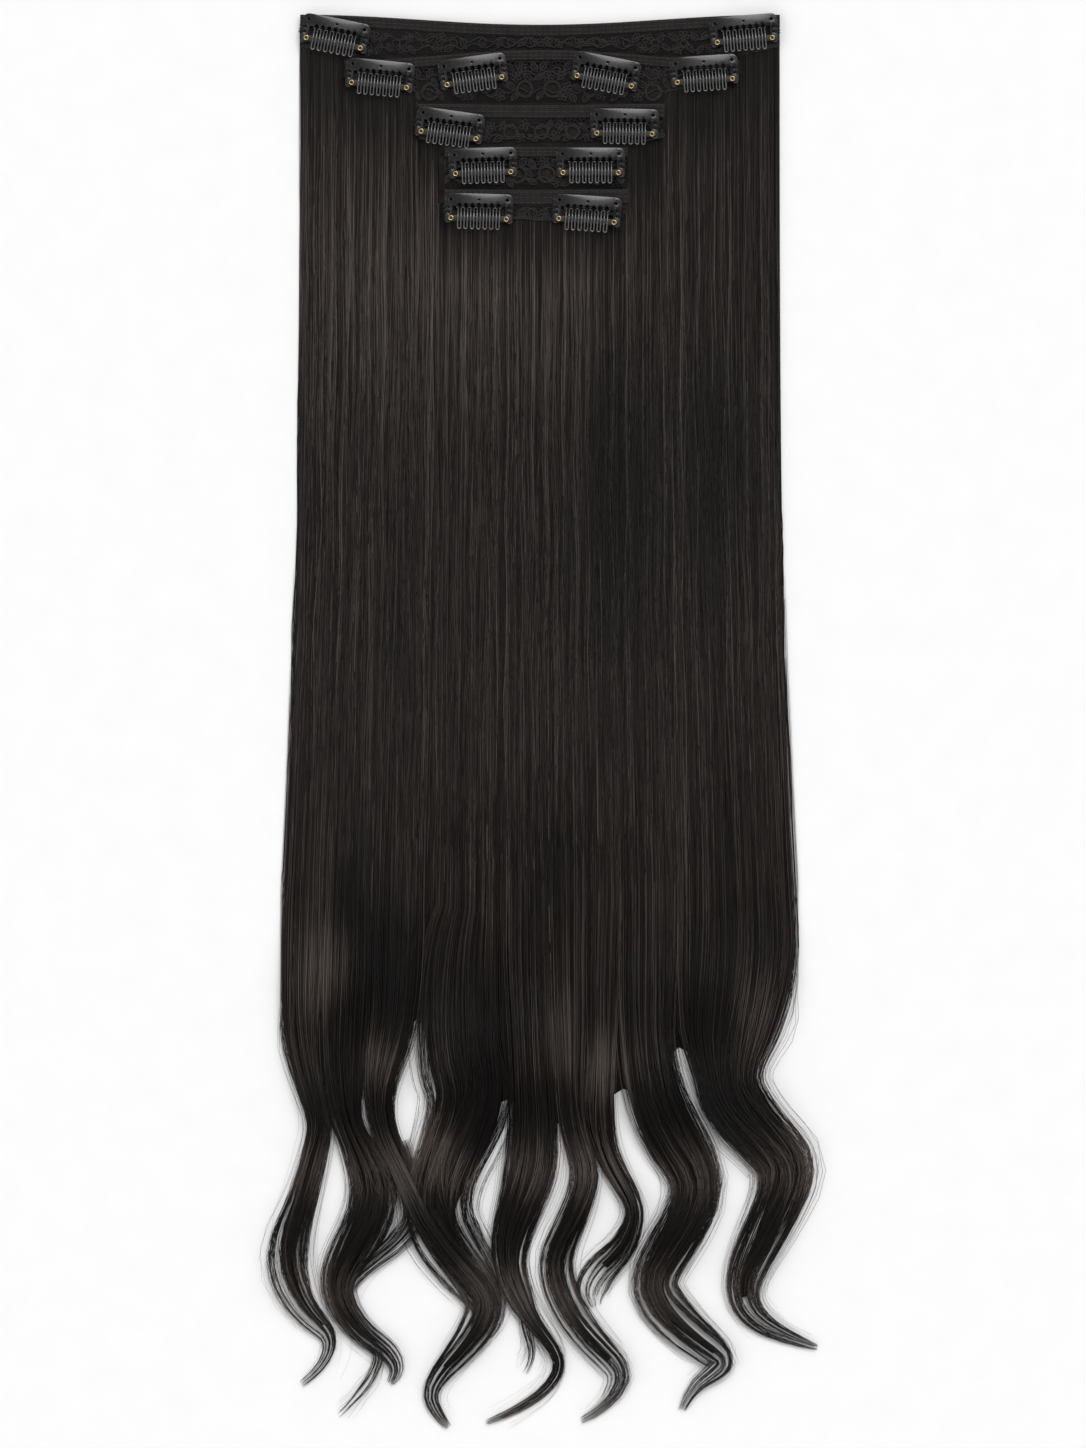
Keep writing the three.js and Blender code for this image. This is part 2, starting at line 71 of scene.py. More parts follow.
@dataclass(frozen=True)
class Sizes:
    """The part's driving sizes, in millimetres, as the CAD model has them."""

    half: float = 113.0
    top: float = 334.0
    wave_top: float = -83.5
    wave_length: float = 250.5
    tier_span: float = 83.0
    top_margin: float = 0.8
    band_height: float = 5.6
    hair_depth: float = 2.0
    lock_width: float = 27.0
    lock_depth: float = 6.0
    layer: float = 2.3
    lace_rise: float = 2.3
    seat_rise: float = 3.6
    lace_clearance: float = 1.0
    left_inset: float = 3.6
    free_raise: float = 3.4
    under_band: float = 2.4
    hem_tuck: float = 0.03


S = Sizes()


@dataclass(frozen=True)
class Row:
    """One row of hair: its ends and feet by half the width, and its band and lace."""

    index: int
    left: float
    right: float
    foot_left: float
    foot_right: float
    drop: float
    sag: float
    band: float
    lace_outer: float
    lace_inner: float

    @property
    def floor(self) -> float:
        """The height that the row's hair lies on."""
        return self.index * S.layer

    @property
    def foot(self) -> float:
        """The Y where the row's straight fall ends."""
        share = self.index / 4
        return S.wave_top - S.wave_length * (-0.038 + 0.098 * share)

    @property
    def inset(self) -> float:
        """How far the band's and lace's left end is set in: two rows show hair beside their clip."""
        return S.left_inset if self.index > 2 else 0.0

    def band_top(self, x: np.ndarray) -> np.ndarray:
        """The Y of the band's upper edge at each x."""
        share = (np.asarray(x, float) / S.half - self.left) / (self.right - self.left)
        hang = (1 - np.cos(2 * math.pi * share)) / 2
        return S.top - S.top_margin - self.drop * S.tier_span - self.sag * S.band_height * hang

    def band_bottom(self, x: np.ndarray) -> np.ndarray:
        """The Y of the band's lower edge at each x."""
        return self.band_top(x) - self.band * S.band_height

    def edges(self, y: np.ndarray) -> tuple[np.ndarray, np.ndarray]:
        """The X of the fall's left and right edge at each y."""
        start = S.top - S.top_margin - self.drop * S.tier_span
        down = np.clip((start - np.asarray(y, float)) / (start - self.foot), 0, 1) ** 3
        left = S.half * (self.left + (self.foot_left - self.left) * down)
        right = S.half * (self.right + (self.foot_right - self.right) * down)
        return left, right


ROWS = (
    Row(0, -1.013, 0.984, -1.075, 1.034, 0.0, 0.85, 1.0, 0.225, 0.235),
    Row(1, -0.826, 0.817, -0.909, 0.88, 0.263, -0.85, 0.85, 0.405, 0.445),
    Row(2, -0.522, 0.505, -0.701, 0.443, 0.513, 0.1, 1.15, 0.745, 0.745),
    Row(3, -0.443, 0.351, -0.443, 0.235, 0.758, 0.0, 0.85, 0.99, 0.99),
    Row(4, -0.443, 0.351, -0.306, 0.131, 1.0, 0.1, 1.25, 1.181, 1.181),
)


@dataclass(frozen=True)
class Lock:
    """A wavy lock: sections of [across, down, width, depth, lift] as in the CAD model."""

    name: str
    row: int
    strands: int
    clumps: int
    sections: tuple[tuple[float, ...], ...]


LOCKS = (
    Lock("A", 0, 170, 10, (
        (-1, -0.06, 0.59, 0.3, 1), (-1.006, 0, 0.64, 0.35, 1), (-1.01, 0.113, 0.66, 0.6, 0),
        (-1.013, 0.244, 0.63, 0.7, 0), (-0.98, 0.338, 0.49, 0.6, 0), (-0.938, 0.413, 0.42, 0.5, 0),
        (-0.955, 0.469, 0.45, 0.5, 0), (-1.005, 0.563, 0.49, 0.5, 0), (-1.075, 0.672, 0.62, 0.5, 0),
        (-0.992, 0.771, 0.42, 0.4, 0), (-0.88, 0.818, 0.24, 0.3, 0), (-0.917, 0.874, 0.14, 0.25, 0),
        (-1.025, 0.916, 0.09, 0.2, 0))),
    Lock("B", 1, 240, 10, (
        (-0.817, -0.038, 0.73, 0.3, 1), (-0.822, 0.047, 0.77, 0.4, 0.6), (-0.826, 0.159, 0.8, 0.8, 0),
        (-0.834, 0.263, 0.77, 0.9, 0), (-0.834, 0.356, 0.63, 0.8, 0), (-0.805, 0.437, 0.45, 0.8, 0),
        (-0.688, 0.55, 0.7, 0.8, 0), (-0.797, 0.657, 0.63, 0.7, 0), (-0.867, 0.73, 0.47, 0.6, 0),
        (-0.772, 0.809, 0.35, 0.4, 0), (-0.659, 0.846, 0.26, 0.35, 0), (-0.609, 0.882, 0.17, 0.25, 0),
        (-0.647, 0.912, 0.09, 0.2, 0))),
    Lock("B2", 1, 26, 2, (
        (-0.722, 0.827, 0.17, 0.3, 0), (-0.68, 0.867, 0.16, 0.3, 0), (-0.767, 0.927, 0.12, 0.25, 0),
        (-0.867, 0.976, 0.07, 0.2, 0))),
    Lock("C", 2, 250, 10, (
        (-0.609, -0.013, 0.77, 0.3, 1), (-0.614, 0.075, 0.8, 0.4, 0.6), (-0.622, 0.188, 0.77, 0.8, 0.1),
        (-0.643, 0.263, 0.7, 0.9, 0), (-0.684, 0.347, 0.49, 0.8, 0), (-0.676, 0.422, 0.38, 0.7, 0),
        (-0.608, 0.488, 0.35, 0.7, 0), (-0.547, 0.544, 0.38, 0.7, 0), (-0.489, 0.6, 0.42, 0.7, 0),
        (-0.389, 0.666, 0.45, 0.6, 0), (-0.281, 0.722, 0.49, 0.6, 0), (-0.235, 0.771, 0.56, 0.6, 0),
        (-0.335, 0.839, 0.42, 0.5, 0), (-0.431, 0.886, 0.28, 0.4, 0), (-0.476, 0.929, 0.21, 0.3, 0),
        (-0.443, 0.964, 0.16, 0.25, 0), (-0.389, 0.996, 0.09, 0.2, 0))),
    Lock("D", 3, 300, 10, (
        (-0.306, 0.009, 0.98, 0.3, 1), (-0.335, 0.094, 1.22, 0.4, 0.6), (-0.343, 0.206, 1.36, 0.8, 0.1),
        (-0.331, 0.3, 1.36, 0.9, 0), (-0.302, 0.375, 1.29, 0.9, 0), (-0.381, 0.469, 1.25, 0.8, 0),
        (-0.425, 0.535, 1.15, 0.7, 0), (-0.425, 0.6, 0.95, 0.6, 0), (-0.36, 0.66, 0.8, 0.5, 0),
        (-0.28, 0.72, 0.7, 0.4, 0), (-0.225, 0.771, 0.5, 0.35, 0), (-0.27, 0.82, 0.3, 0.3, 0))),
    Lock("C2", 2, 60, 4, (
        (-0.62, 0.45, 0.4, 0.5, 0), (-0.585, 0.5, 0.4, 0.5, 0), (-0.555, 0.55, 0.38, 0.4, 0),
        (-0.545, 0.595, 0.35, 0.4, 0), (-0.6, 0.638, 0.32, 0.35, 0), (-0.713, 0.679, 0.25, 0.3, 0),
        (-0.81, 0.722, 0.2, 0.25, 0), (-0.847, 0.769, 0.15, 0.2, 0), (-0.797, 0.816, 0.1, 0.2, 0))),
    Lock("E", 4, 240, 10, (
        (-0.073, 0.034, 0.73, 0.3, 1), (-0.073, 0.113, 0.73, 0.4, 0.6), (-0.064, 0.225, 0.73, 0.8, 0.1),
        (-0.056, 0.319, 0.73, 0.8, 0), (-0.044, 0.413, 0.77, 0.8, 0), (-0.048, 0.499, 0.84, 0.7, 0),
        (-0.089, 0.563, 0.7, 0.6, 0), (-0.139, 0.63, 0.56, 0.5, 0), (-0.148, 0.687, 0.45, 0.5, 0),
        (-0.102, 0.743, 0.38, 0.4, 0), (-0.052, 0.788, 0.24, 0.35, 0), (0.031, 0.835, 0.17, 0.3, 0),
        (0.069, 0.878, 0.14, 0.25, 0), (-0.002, 0.925, 0.12, 0.25, 0), (-0.131, 0.961, 0.1, 0.2, 0),
        (-0.256, 0.985, 0.07, 0.2, 0))),
    Lock("E1", 4, 24, 2, (
        (-0.09, 0.756, 0.2, 0.3, 0), (-0.068, 0.812, 0.14, 0.25, 0), (-0.044, 0.854, 0.1, 0.2, 0),
        (-0.085, 0.895, 0.07, 0.2, 0))),
    Lock("F", 3, 200, 9, (
        (0.102, 0.009, 0.52, 0.3, 1), (0.102, 0.094, 0.49, 0.4, 0.6), (0.106, 0.206, 0.49, 0.8, 0.1),
        (0.11, 0.3, 0.45, 0.8, 0), (0.114, 0.396, 0.42, 0.8, 0), (0.156, 0.469, 0.42, 0.7, 0),
        (0.185, 0.525, 0.47, 0.7, 0), (0.119, 0.604, 0.45, 0.6, 0), (0.04, 0.675, 0.45, 0.6, 0),
        (0.077, 0.747, 0.42, 0.5, 0), (0.164, 0.809, 0.38, 0.5, 0), (0.26, 0.854, 0.35, 0.4, 0),
        (0.327, 0.895, 0.31, 0.4, 0), (0.248, 0.951, 0.17, 0.3, 0), (0.139, 0.981, 0.09, 0.2, 0))),
    Lock("G", 2, 190, 8, (
        (0.252, -0.013, 0.52, 0.3, 1), (0.248, 0.075, 0.49, 0.4, 0.6), (0.243, 0.188, 0.49, 0.8, 0.1),
        (0.243, 0.3, 0.49, 0.8, 0), (0.235, 0.403, 0.49, 0.8, 0), (0.264, 0.478, 0.35, 0.7, 0),
        (0.347, 0.544, 0.3, 0.6, 0), (0.385, 0.591, 0.3, 0.6, 0), (0.327, 0.655, 0.45, 0.6, 0),
        (0.235, 0.694, 0.49, 0.6, 0), (0.193, 0.735, 0.42, 0.5, 0), (0.218, 0.769, 0.17, 0.3, 0))),
    Lock("H", 1, 270, 10, (
        (0.435, -0.038, 0.91, 0.3, 1), (0.435, 0.047, 0.91, 0.4, 0.6), (0.431, 0.159, 0.91, 0.8, 0),
        (0.431, 0.263, 0.87, 0.9, 0), (0.464, 0.366, 0.94, 0.9, 0), (0.543, 0.45, 0.98, 0.9, 0),
        (0.647, 0.533, 0.87, 0.8, 0), (0.568, 0.623, 0.84, 0.7, 0), (0.451, 0.707, 0.73, 0.7, 0),
        (0.51, 0.771, 0.63, 0.6, 0), (0.663, 0.831, 0.49, 0.5, 0), (0.767, 0.871, 0.35, 0.4, 0),
        (0.639, 0.908, 0.21, 0.3, 0), (0.568, 0.968, 0.1, 0.2, 0))),
    Lock("I", 0, 330, 12, (
        (0.797, -0.06, 1.95, 0.3, 1), (0.8, 0, 1.98, 0.33, 1), (0.805, 0.113, 2.02, 0.6, 0),
        (0.767, 0.244, 1.71, 0.7, 0), (0.763, 0.328, 1.18, 0.8, 0), (0.797, 0.385, 1.15, 0.8, 0),
        (0.917, 0.45, 1.05, 0.8, 0), (1.009, 0.499, 1.01, 0.8, 0), (0.98, 0.567, 0.77, 0.7, 0),
        (0.905, 0.638, 0.66, 0.6, 0), (0.826, 0.72, 0.52, 0.5, 0), (0.867, 0.78, 0.38, 0.4, 0),
        (1.005, 0.818, 0.21, 0.3, 0), (1.163, 0.844, 0.07, 0.2, 0))),
)


# How far down the hair stays closed before its locks part: across by half the width, and down by
# the length of the waves.
PARTINGS = (
    (-1.083, 0.15), (-0.888, 0.413), (-0.659, 0.347), (-0.526, 0.244), (-0.443, 0.334),
    (-0.306, 0.441), (-0.139, 0.401), (-0.035, 0.469), (0.077, 0.447), (0.193, 0.431),
    (0.327, 0.385), (0.443, 0.394), (0.551, 0.304), (0.734, 0.347), (0.921, 0.281), (1.034, 0.15),
)


def part_shift() -> np.ndarray:
    """The step from the part's own measures to the shared frame, in millimetres."""
    low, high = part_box("weft_band_1")
    row = ROWS[0]
    return np.array([low[0] / MM - row.left * S.half, high[1] / MM - (S.top - S.top_margin), 0.0])


SHIFT = part_shift()


def smooth(value: np.ndarray, low: float, high: float) -> np.ndarray:
    """A smooth step from 0 at low to 1 at high."""
    share = np.clip((np.asarray(value, float) - low) / (high - low), 0, 1)
    return share * share * (3 - 2 * share)


def mixed(start: np.ndarray, end: np.ndarray, share: np.ndarray) -> np.ndarray:
    """The value a share of the way from start to end."""
    return start + (end - start) * share


def framed(points: np.ndarray) -> np.ndarray:
    """Points of the part in millimetres, as metres in the shared frame."""
    return (np.asarray(points, float).reshape(-1, 3) + SHIFT) * MM


def linked(name: str, data: bpy.types.ID) -> Object:
    """A new object with its data, in the scene."""
    item = bpy.data.objects.new(name, data)
    bpy.context.scene.collection.objects.link(item)
    return item


def tube_faces(rings: int, sides: int) -> list[tuple[int, ...]]:
    """The faces of a closed tube of rings: its sides, then its two ends."""
    faces = []
    for j in range(rings - 1):
        for i in range(sides):
            a, b = j * sides + i, j * sides + (i + 1) % sides
            faces.append((a, b, b + sides, a + sides))
    faces.append(tuple(range(sides))[::-1])
    faces.append(tuple(range((rings - 1) * sides, rings * sides)))
    return faces


def mesh_piece(name: str, points: np.ndarray, faces: list, material: Material) -> Object:
    """Makes a smooth mesh piece.

    Args:
        name: The piece's name.
        points: Its corners, in millimetres in the part's measures.
        faces: Its faces, as corner numbers.
        material: Its finish.

    Returns:
        The new object, at the origin with its place in its mesh.
    """
    mesh = bpy.data.meshes.new(name)
    mesh.from_pydata(framed(points).tolist(), [], faces)
    mesh.materials.append(material)
    mesh.polygons.foreach_set("use_smooth", np.ones(len(mesh.polygons), bool))
    mesh.update()
    return linked(name, mesh)


def worn(piece: Object, body: str = BODY, nodes: tuple[str, ...] = ()) -> Object:
    """Hands a piece to its body and the CAD nodes that it stands for, and reports it."""
    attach(piece, body)
    if nodes:
        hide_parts(*nodes)
    triangles = sum(len(face.vertices) - 2 for face in piece.data.polygons)
    LOG.info("%s: %d triangles on %s", piece.name, triangles, body)
    return piece


class Paint:
    """A material's node tree in the making."""

    def __init__(self, name: str) -> None:
        """Starts a material that has one Principled shader."""
        self.material = bpy.data.materials.new(name)
        self.material.use_nodes = True
        self.tree = self.material.node_tree
        self.shader = self.tree.nodes["Principled BSDF"]

    def node(self, kind: str, settings: dict | None = None, inputs: dict | None = None) -> Node:
        """Adds a node.

        Args:
            kind: The node's type.
            settings: Its own settings, by name.
            inputs: Its inputs, each a number or colour, or a socket to link from.

        Returns:
            The node.
        """
        node = self.tree.nodes.new(kind)
        for key, value in (settings or {}).items():
            setattr(node, key, value)
        for key, value in (inputs or {}).items():
            if isinstance(value, Socket):
                self.tree.links.new(value, node.inputs[key])
            else:
                node.inputs[key].default_value = value
        return node

    def math(self, operation: str, first: object, second: object) -> Socket:
        """The result of a Math node on two numbers or sockets."""
        return self.node("ShaderNodeMath", {"operation": operation}, {0: first, 1: second}).outputs[0]

    def mapped(self, source: Socket, scale: tuple[float, float, float]) -> Socket:
        """A coordinate stretched by scale."""
        return self.node("ShaderNodeMapping", None, {"Vector": source, "Scale": scale}).outputs[0]

    def coordinate(self, which: str = "Object") -> Socket:
        """The Object or UV coordinate."""
        return self.node("ShaderNodeTexCoord").outputs[which]

    def noise(self, at: Socket, scale: float, detail: float = 2.0) -> Socket:
        """A noise's value."""
        inputs = {"Vector": at, "Scale": scale, "Detail": detail}
        return self.node("ShaderNodeTexNoise", None, inputs).outputs[0]

    def ramp(self, value: Socket, stops: tuple) -> Socket:
        """A colour ramp through stops of (place, colour)."""
        node = self.node("ShaderNodeValToRGB", None, {"Fac": value})
        elements = node.color_ramp.elements
        elements[0].position, elements[0].color = stops[0][0], (*stops[0][1], 1)
        elements[1].position, elements[1].color = stops[-1][0], (*stops[-1][1], 1)
        for place, colour in stops[1:-1]:
            elements.new(place).color = (*colour, 1)
        return node.outputs[0]

    def spread(self, value: Socket, low: float, high: float) -> Socket:
        """A value from 0 to 1, spread from low to high."""
        inputs = {"Value": value, "To Min": low, "To Max": high}
        return self.node("ShaderNodeMapRange", None, inputs).outputs[0]

    def bump(self, height: Socket, strength: float, distance: float) -> None:
        """Gives the shader a bump."""
        inputs = {"Height": height, "Strength": strength, "Distance": distance}
        node = self.node("ShaderNodeBump", None, inputs)
        self.tree.links.new(node.outputs[0], self.shader.inputs["Normal"])

    def set(self, **values: object) -> None:
        """Sets the shader's sockets: a number, a colour, or a socket to link from."""
        for key, value in values.items():
            socket = self.shader.inputs[key.replace("_", " ")]
            if isinstance(value, Socket):
                self.tree.links.new(value, socket)
            else:
                socket.default_value = value


@dataclass(frozen=True)
class HairFinish:
    """Dark brown hair, from its darkest to its lightest strand."""

    deep: tuple[float, float, float] = (0.0022, 0.0014, 0.0011)
    middle: tuple[float, float, float] = (0.0118, 0.0083, 0.0066)
    light: tuple[float, float, float] = (0.105, 0.085, 0.073)

    def strand(self) -> Material:
        """The finish of single strands, which carry their own tone, painted highlight and painted shade."""
        paint = Paint("hair_strand")
        # The tone attribute holds each strand's own tone and the painted highlight and shade.
        tone = paint.node("ShaderNodeAttribute", {"attribute_name": "tone"}).outputs["Fac"]
        at = paint.mapped(paint.coordinate(), (1, 0.06, 1))
        mottle = paint.spread(paint.noise(at, 900), -0.16, 0.16)
        value = paint.math("ADD", tone, mottle)
        stops = ((0.0, self.deep), (0.5, self.middle), (1.0, self.light))
        paint.set(Base_Color=paint.ramp(value, stops), Roughness=paint.spread(mottle, 0.4, 0.34))
        paint.set(Specular_IOR_Level=0.28)
        return paint.material

    def mass(self) -> Material:
        """The finish of the hair below the single strands, streaked along its own flow, with the painted
        highlight and shade of its tone.
        """
        paint = Paint("hair_mass")
        flow = paint.coordinate("UV")
        fine = paint.noise(paint.mapped(flow, (900, 4, 1)), 1.0, 3)
        broad = paint.noise(paint.mapped(flow, (140, 2, 1)), 1.0)
        value = paint.math("ADD", paint.math("MULTIPLY", fine, 0.6), paint.math("MULTIPLY", broad, 0.35))
        # The tone attribute holds painted highlight and shade besides the hair's own streaks.
        tone = paint.node("ShaderNodeAttribute", {"attribute_name": "tone"}).outputs["Fac"]
        value = paint.math("MULTIPLY", value, paint.math("ADD", tone, 0.45))
        stops = ((0.1, self.deep), (0.62, self.middle), (1.0, self.light))
        paint.set(Base_Color=paint.ramp(value, stops), Roughness=paint.spread(fine, 0.5, 0.38))
        paint.set(Specular_IOR_Level=0.15)
        paint.bump(fine, 0.5, 0.0004)
        return paint.material


@dataclass(frozen=True)
class ClothFinish:
    """A dark thread or woven cloth with threads pitch metres apart."""

    name: str
    dark: tuple[float, float, float]
    light: tuple[float, float, float]
    pitch: float = 0.0006
    roughness: float = 0.85
    sheen: float = 0.05

    def material(self) -> Material:
        """Crossed threads in colour and bump, with a little mottling."""
        paint = Paint(self.name)
        at = paint.coordinate()
        weave = []
        for direction in ("X", "Y"):
            settings = {"wave_type": "BANDS", "bands_direction": direction, "wave_profile": "SIN"}
            inputs = {"Vector": at, "Scale": 0.314 / self.pitch, "Distortion": 0.6, "Detail": 1.0}
            weave.append(paint.node("ShaderNodeTexWave", settings, inputs).outputs["Fac"])
        threads = paint.math("MULTIPLY", paint.math("ADD", *weave), 0.5)
        mottle = paint.noise(at, 240, 3)
        shares = paint.math("MULTIPLY", threads, 0.45), paint.math("MULTIPLY", mottle, 0.6)
        value = paint.math("ADD", *shares)
        paint.set(Base_Color=paint.ramp(value, ((0.2, self.dark), (0.85, self.light))))
        paint.set(Roughness=paint.spread(mottle, self.roughness - 0.08, self.roughness + 0.08))
        paint.set(Specular_IOR_Level=0.25, Sheen_Weight=self.sheen, Sheen_Roughness=0.5)
        paint.bump(threads, 0.5, self.pitch * 0.4)
        return paint.material


@dataclass(frozen=True)
class MetalFinish:
    """Painted or bare metal with fine scuffs."""

    name: str
    colour: tuple[float, float, float]
    worn_colour: tuple[float, float, float]
    metallic: float
    roughness: float
    coat: float = 0.0

    def material(self) -> Material:
        """A smooth metal with a faint orange peel, dust and handling marks."""
        paint = Paint(self.name)
        at = paint.coordinate()
        dust = paint.noise(at, 1400, 3)
        marks = paint.noise(paint.mapped(at, (1, 5, 1)), 420, 4)
        paint.set(Base_Color=paint.ramp(dust, ((0.45, self.colour), (0.8, self.worn_colour))))
        paint.set(Roughness=paint.spread(marks, self.roughness - 0.07, self.roughness + 0.1))
        paint.set(Metallic=self.metallic, Coat_Weight=self.coat, Coat_Roughness=0.12)
        paint.bump(dust, 0.04, 0.00002)
        return paint.material


class Tree:
    """A Geometry Nodes tree in the making, with named inputs for its sizes."""

    SOCKETS = {int: "NodeSocketInt", float: "NodeSocketFloat", Material: "NodeSocketMaterial"}

    def __init__(self, name: str, inputs: dict[str, type]) -> None:
        """Starts a tree that takes and gives a geometry.

        Args:
            name: The tree's name.
            inputs: The kind of each further input, by its name.
        """
        self.group = bpy.data.node_groups.new(name, "GeometryNodeTree")
        face = self.group.interface
        face.new_socket("Geometry", in_out="INPUT", socket_type="NodeSocketGeometry")
        face.new_socket("Geometry", in_out="OUTPUT", socket_type="NodeSocketGeometry")
        self.keys = {}
        for key, kind in inputs.items():
            socket = face.new_socket(key, in_out="INPUT", socket_type=self.SOCKETS[kind])
            self.keys[key] = socket.identifier
        self.given = self.group.nodes.new("NodeGroupInput")

    def node(self, kind: str, settings: dict | None = None, **inputs: object) -> Node:
        """Adds a node, whose inputs are values or sockets; _ stands for a space in their names."""
        node = self.group.nodes.new(kind)
        for key, value in (settings or {}).items():
            setattr(node, key, value)
        for key, value in inputs.items():
            socket = node.inputs[key.replace("_", " ")]
            if isinstance(value, Socket):
                self.group.links.new(value, socket)
            else:
                socket.default_value = value
        return node

    def input(self, name: str) -> Socket:
        """The socket of a named input."""
        return self.given.outputs[name]

    def attribute(self, name: str) -> Socket:
        """The values of a number kept on the points."""
        return self.node("GeometryNodeInputNamedAttribute", {"data_type": "FLOAT"}, Name=name).outputs[0]

    def tube(self, curve: Socket, sides: object, radius: object) -> Socket:
        """A closed round tube along a curve, as thick as its points say.

        Args:
            curve: The curve.
            sides: How many sides the tube has.
            radius: Its radius, or a socket that holds one for each point.

        Returns:
            The tube's geometry.
        """
        ring = self.node("GeometryNodeCurvePrimitiveCircle", None, Resolution=sides, Radius=1.0)
        swept = self.node("GeometryNodeCurveToMesh", None, Curve=curve, Scale=radius, Fill_Caps=True)
        self.group.links.new(ring.outputs[0], swept.inputs["Profile Curve"])
        return swept.outputs[0]

    def end(self, geometry: Socket) -> None:
        """Ends the tree: real geometry, smooth, in the given material."""
        real = self.node("GeometryNodeRealizeInstances", None, Geometry=geometry)
        soft = self.node("GeometryNodeSetShadeSmooth", None, Geometry=real.outputs[0])
        finish = self.input("Finish")
        dressed = self.node("GeometryNodeSetMaterial", None, Geometry=soft.outputs[0], Material=finish)
        out = self.group.nodes.new("NodeGroupOutput")
        self.group.links.new(dressed.outputs[0], out.inputs[0])

    def grown(self, name: str, seed: Object, values: dict[str, object]) -> Object:
        """Runs the tree on an object and gives the result as a plain mesh piece.

        Args:
            name: The piece's name.
            seed: The object that the tree works on, which is then deleted.
            values: The tree's inputs, by name.

        Returns:
            The plain mesh piece.
        """
        modifier = seed.modifiers.new(name, "NODES")
        modifier.node_group = self.group
        for key, value in values.items():
            modifier[self.keys[key]] = value
        graph = bpy.context.evaluated_depsgraph_get()
        mesh = bpy.data.meshes.new_from_object(seed.evaluated_get(graph), depsgraph=graph)
        mesh.name = name
        bpy.data.objects.remove(seed)
        return linked(name, mesh)


def line_seed(name: str, lines: list[np.ndarray], values: dict[str, list[np.ndarray]]) -> Object:
    """An object of bare lines, for a tree to sweep.

    Args:
        name: Its name.
        lines: The points of each line, in metres in the shared frame.
        values: Numbers kept on the points, by name, one array for each line.

    Returns:
        The object.
    """
    counts = np.array([len(line) for line in lines])
    points = np.concatenate(lines)
    starts = np.concatenate([[0], np.cumsum(counts)[:-1]])
    first = np.concatenate([np.arange(n - 1) + s for n, s in zip(counts, starts)])
    mesh = bpy.data.meshes.new(name)
    mesh.vertices.add(len(points))
    mesh.vertices.foreach_set("co", points.astype(np.float32).ravel())
    mesh.edges.add(len(first))
    mesh.edges.foreach_set("vertices", np.stack([first, first + 1], 1).astype(np.int32).ravel())
    for key, arrays in values.items():
        layer = mesh.attributes.new(key, "FLOAT", "POINT")
        layer.data.foreach_set("value", np.concatenate(arrays).astype(np.float32))
    mesh.update()
    return linked(name, mesh)


def thread_tree() -> Tree:
    """The tree that sweeps lines into round threads, as thick as their points say."""
    tree = Tree("swept_threads", {"Sides": int, "Finish": Material})
    curve = tree.node("GeometryNodeMeshToCurve", None, Mesh=tree.input("Geometry"))
    tree.end(tree.tube(curve.outputs[0], tree.input("Sides"), tree.attribute("thickness")))
    return tree


def stitch_tree() -> Tree:
    """The tree that sews a run of stitches along lines."""
    kinds = {"Pitch": float, "Length": float, "Thickness": float, "Finish": Material}
    tree = Tree("stitch_run", kinds)
    curve = tree.node("GeometryNodeMeshToCurve", None, Mesh=tree.input("Geometry"))
    pitch = tree.input("Pitch")
    spaced = tree.node("GeometryNodeResampleCurve", {"mode": "LENGTH"}, Curve=curve.outputs[0], Length=pitch)
    along = tree.node("GeometryNodeInputTangent")
    turned = tree.node("FunctionNodeAlignRotationToVector", {"axis": "X"}, Vector=along.outputs[0])
    half = tree.node("ShaderNodeMath", {"operation": "MULTIPLY"})
    tree.group.links.new(tree.input("Length"), half.inputs[0])
    half.inputs[1].default_value = 0.5
    offset = tree.node("ShaderNodeCombineXYZ", None, X=half.outputs[0])
    back = tree.node("ShaderNodeVectorMath", {"operation": "SCALE"})
    tree.group.links.new(offset.outputs[0], back.inputs[0])
    back.inputs["Scale"].default_value = -1.0
    run = tree.node("GeometryNodeCurvePrimitiveLine", None, Start=back.outputs[0], End=offset.outputs[0])
    stitch = tree.tube(run.outputs[0], 5, tree.input("Thickness"))
    places, turns = spaced.outputs[0], turned.outputs[0]
    placed = tree.node("GeometryNodeInstanceOnPoints", None, Points=places, Instance=stitch, Rotation=turns)
    tree.end(placed.outputs[0])
    return tree


def tooth_tree() -> Tree:
    """The tree that sets bent wire teeth in a row and gives them their thickness."""
    kinds = {"Teeth": int, "Pitch": float, "Wire": float, "Finish": Material}
    tree = Tree("comb_teeth", kinds)
    pitch = tree.node("ShaderNodeCombineXYZ", None, X=tree.input("Pitch"))
    row = tree.node("GeometryNodeMeshLine", None, Count=tree.input("Teeth"), Offset=pitch.outputs[0])
    tooth = tree.input("Geometry")
    placed = tree.node("GeometryNodeInstanceOnPoints", None, Points=row.outputs[0], Instance=tooth)
    real = tree.node("GeometryNodeRealizeInstances", None, Geometry=placed.outputs[0])
    curve = tree.node("GeometryNodeMeshToCurve", None, Mesh=real.outputs[0])
    tree.end(tree.tube(curve.outputs[0], 7, tree.input("Wire")))
    return tree


def eyelet_tree() -> Tree:
    """The tree that sets a rolled brass eyelet on each point."""
    kinds = {"Ring": float, "Roll": float, "Finish": Material}
    tree = Tree("rolled_eyelets", kinds)
    ring = tree.node("GeometryNodeCurvePrimitiveCircle", None, Resolution=18, Radius=tree.input("Ring"))
    roll = tree.tube(ring.outputs[0], 8, tree.input("Roll"))
    placed = tree.node("GeometryNodeInstanceOnPoints", None, Points=tree.input("Geometry"), Instance=roll)
    tree.end(placed.outputs[0])
    return tree


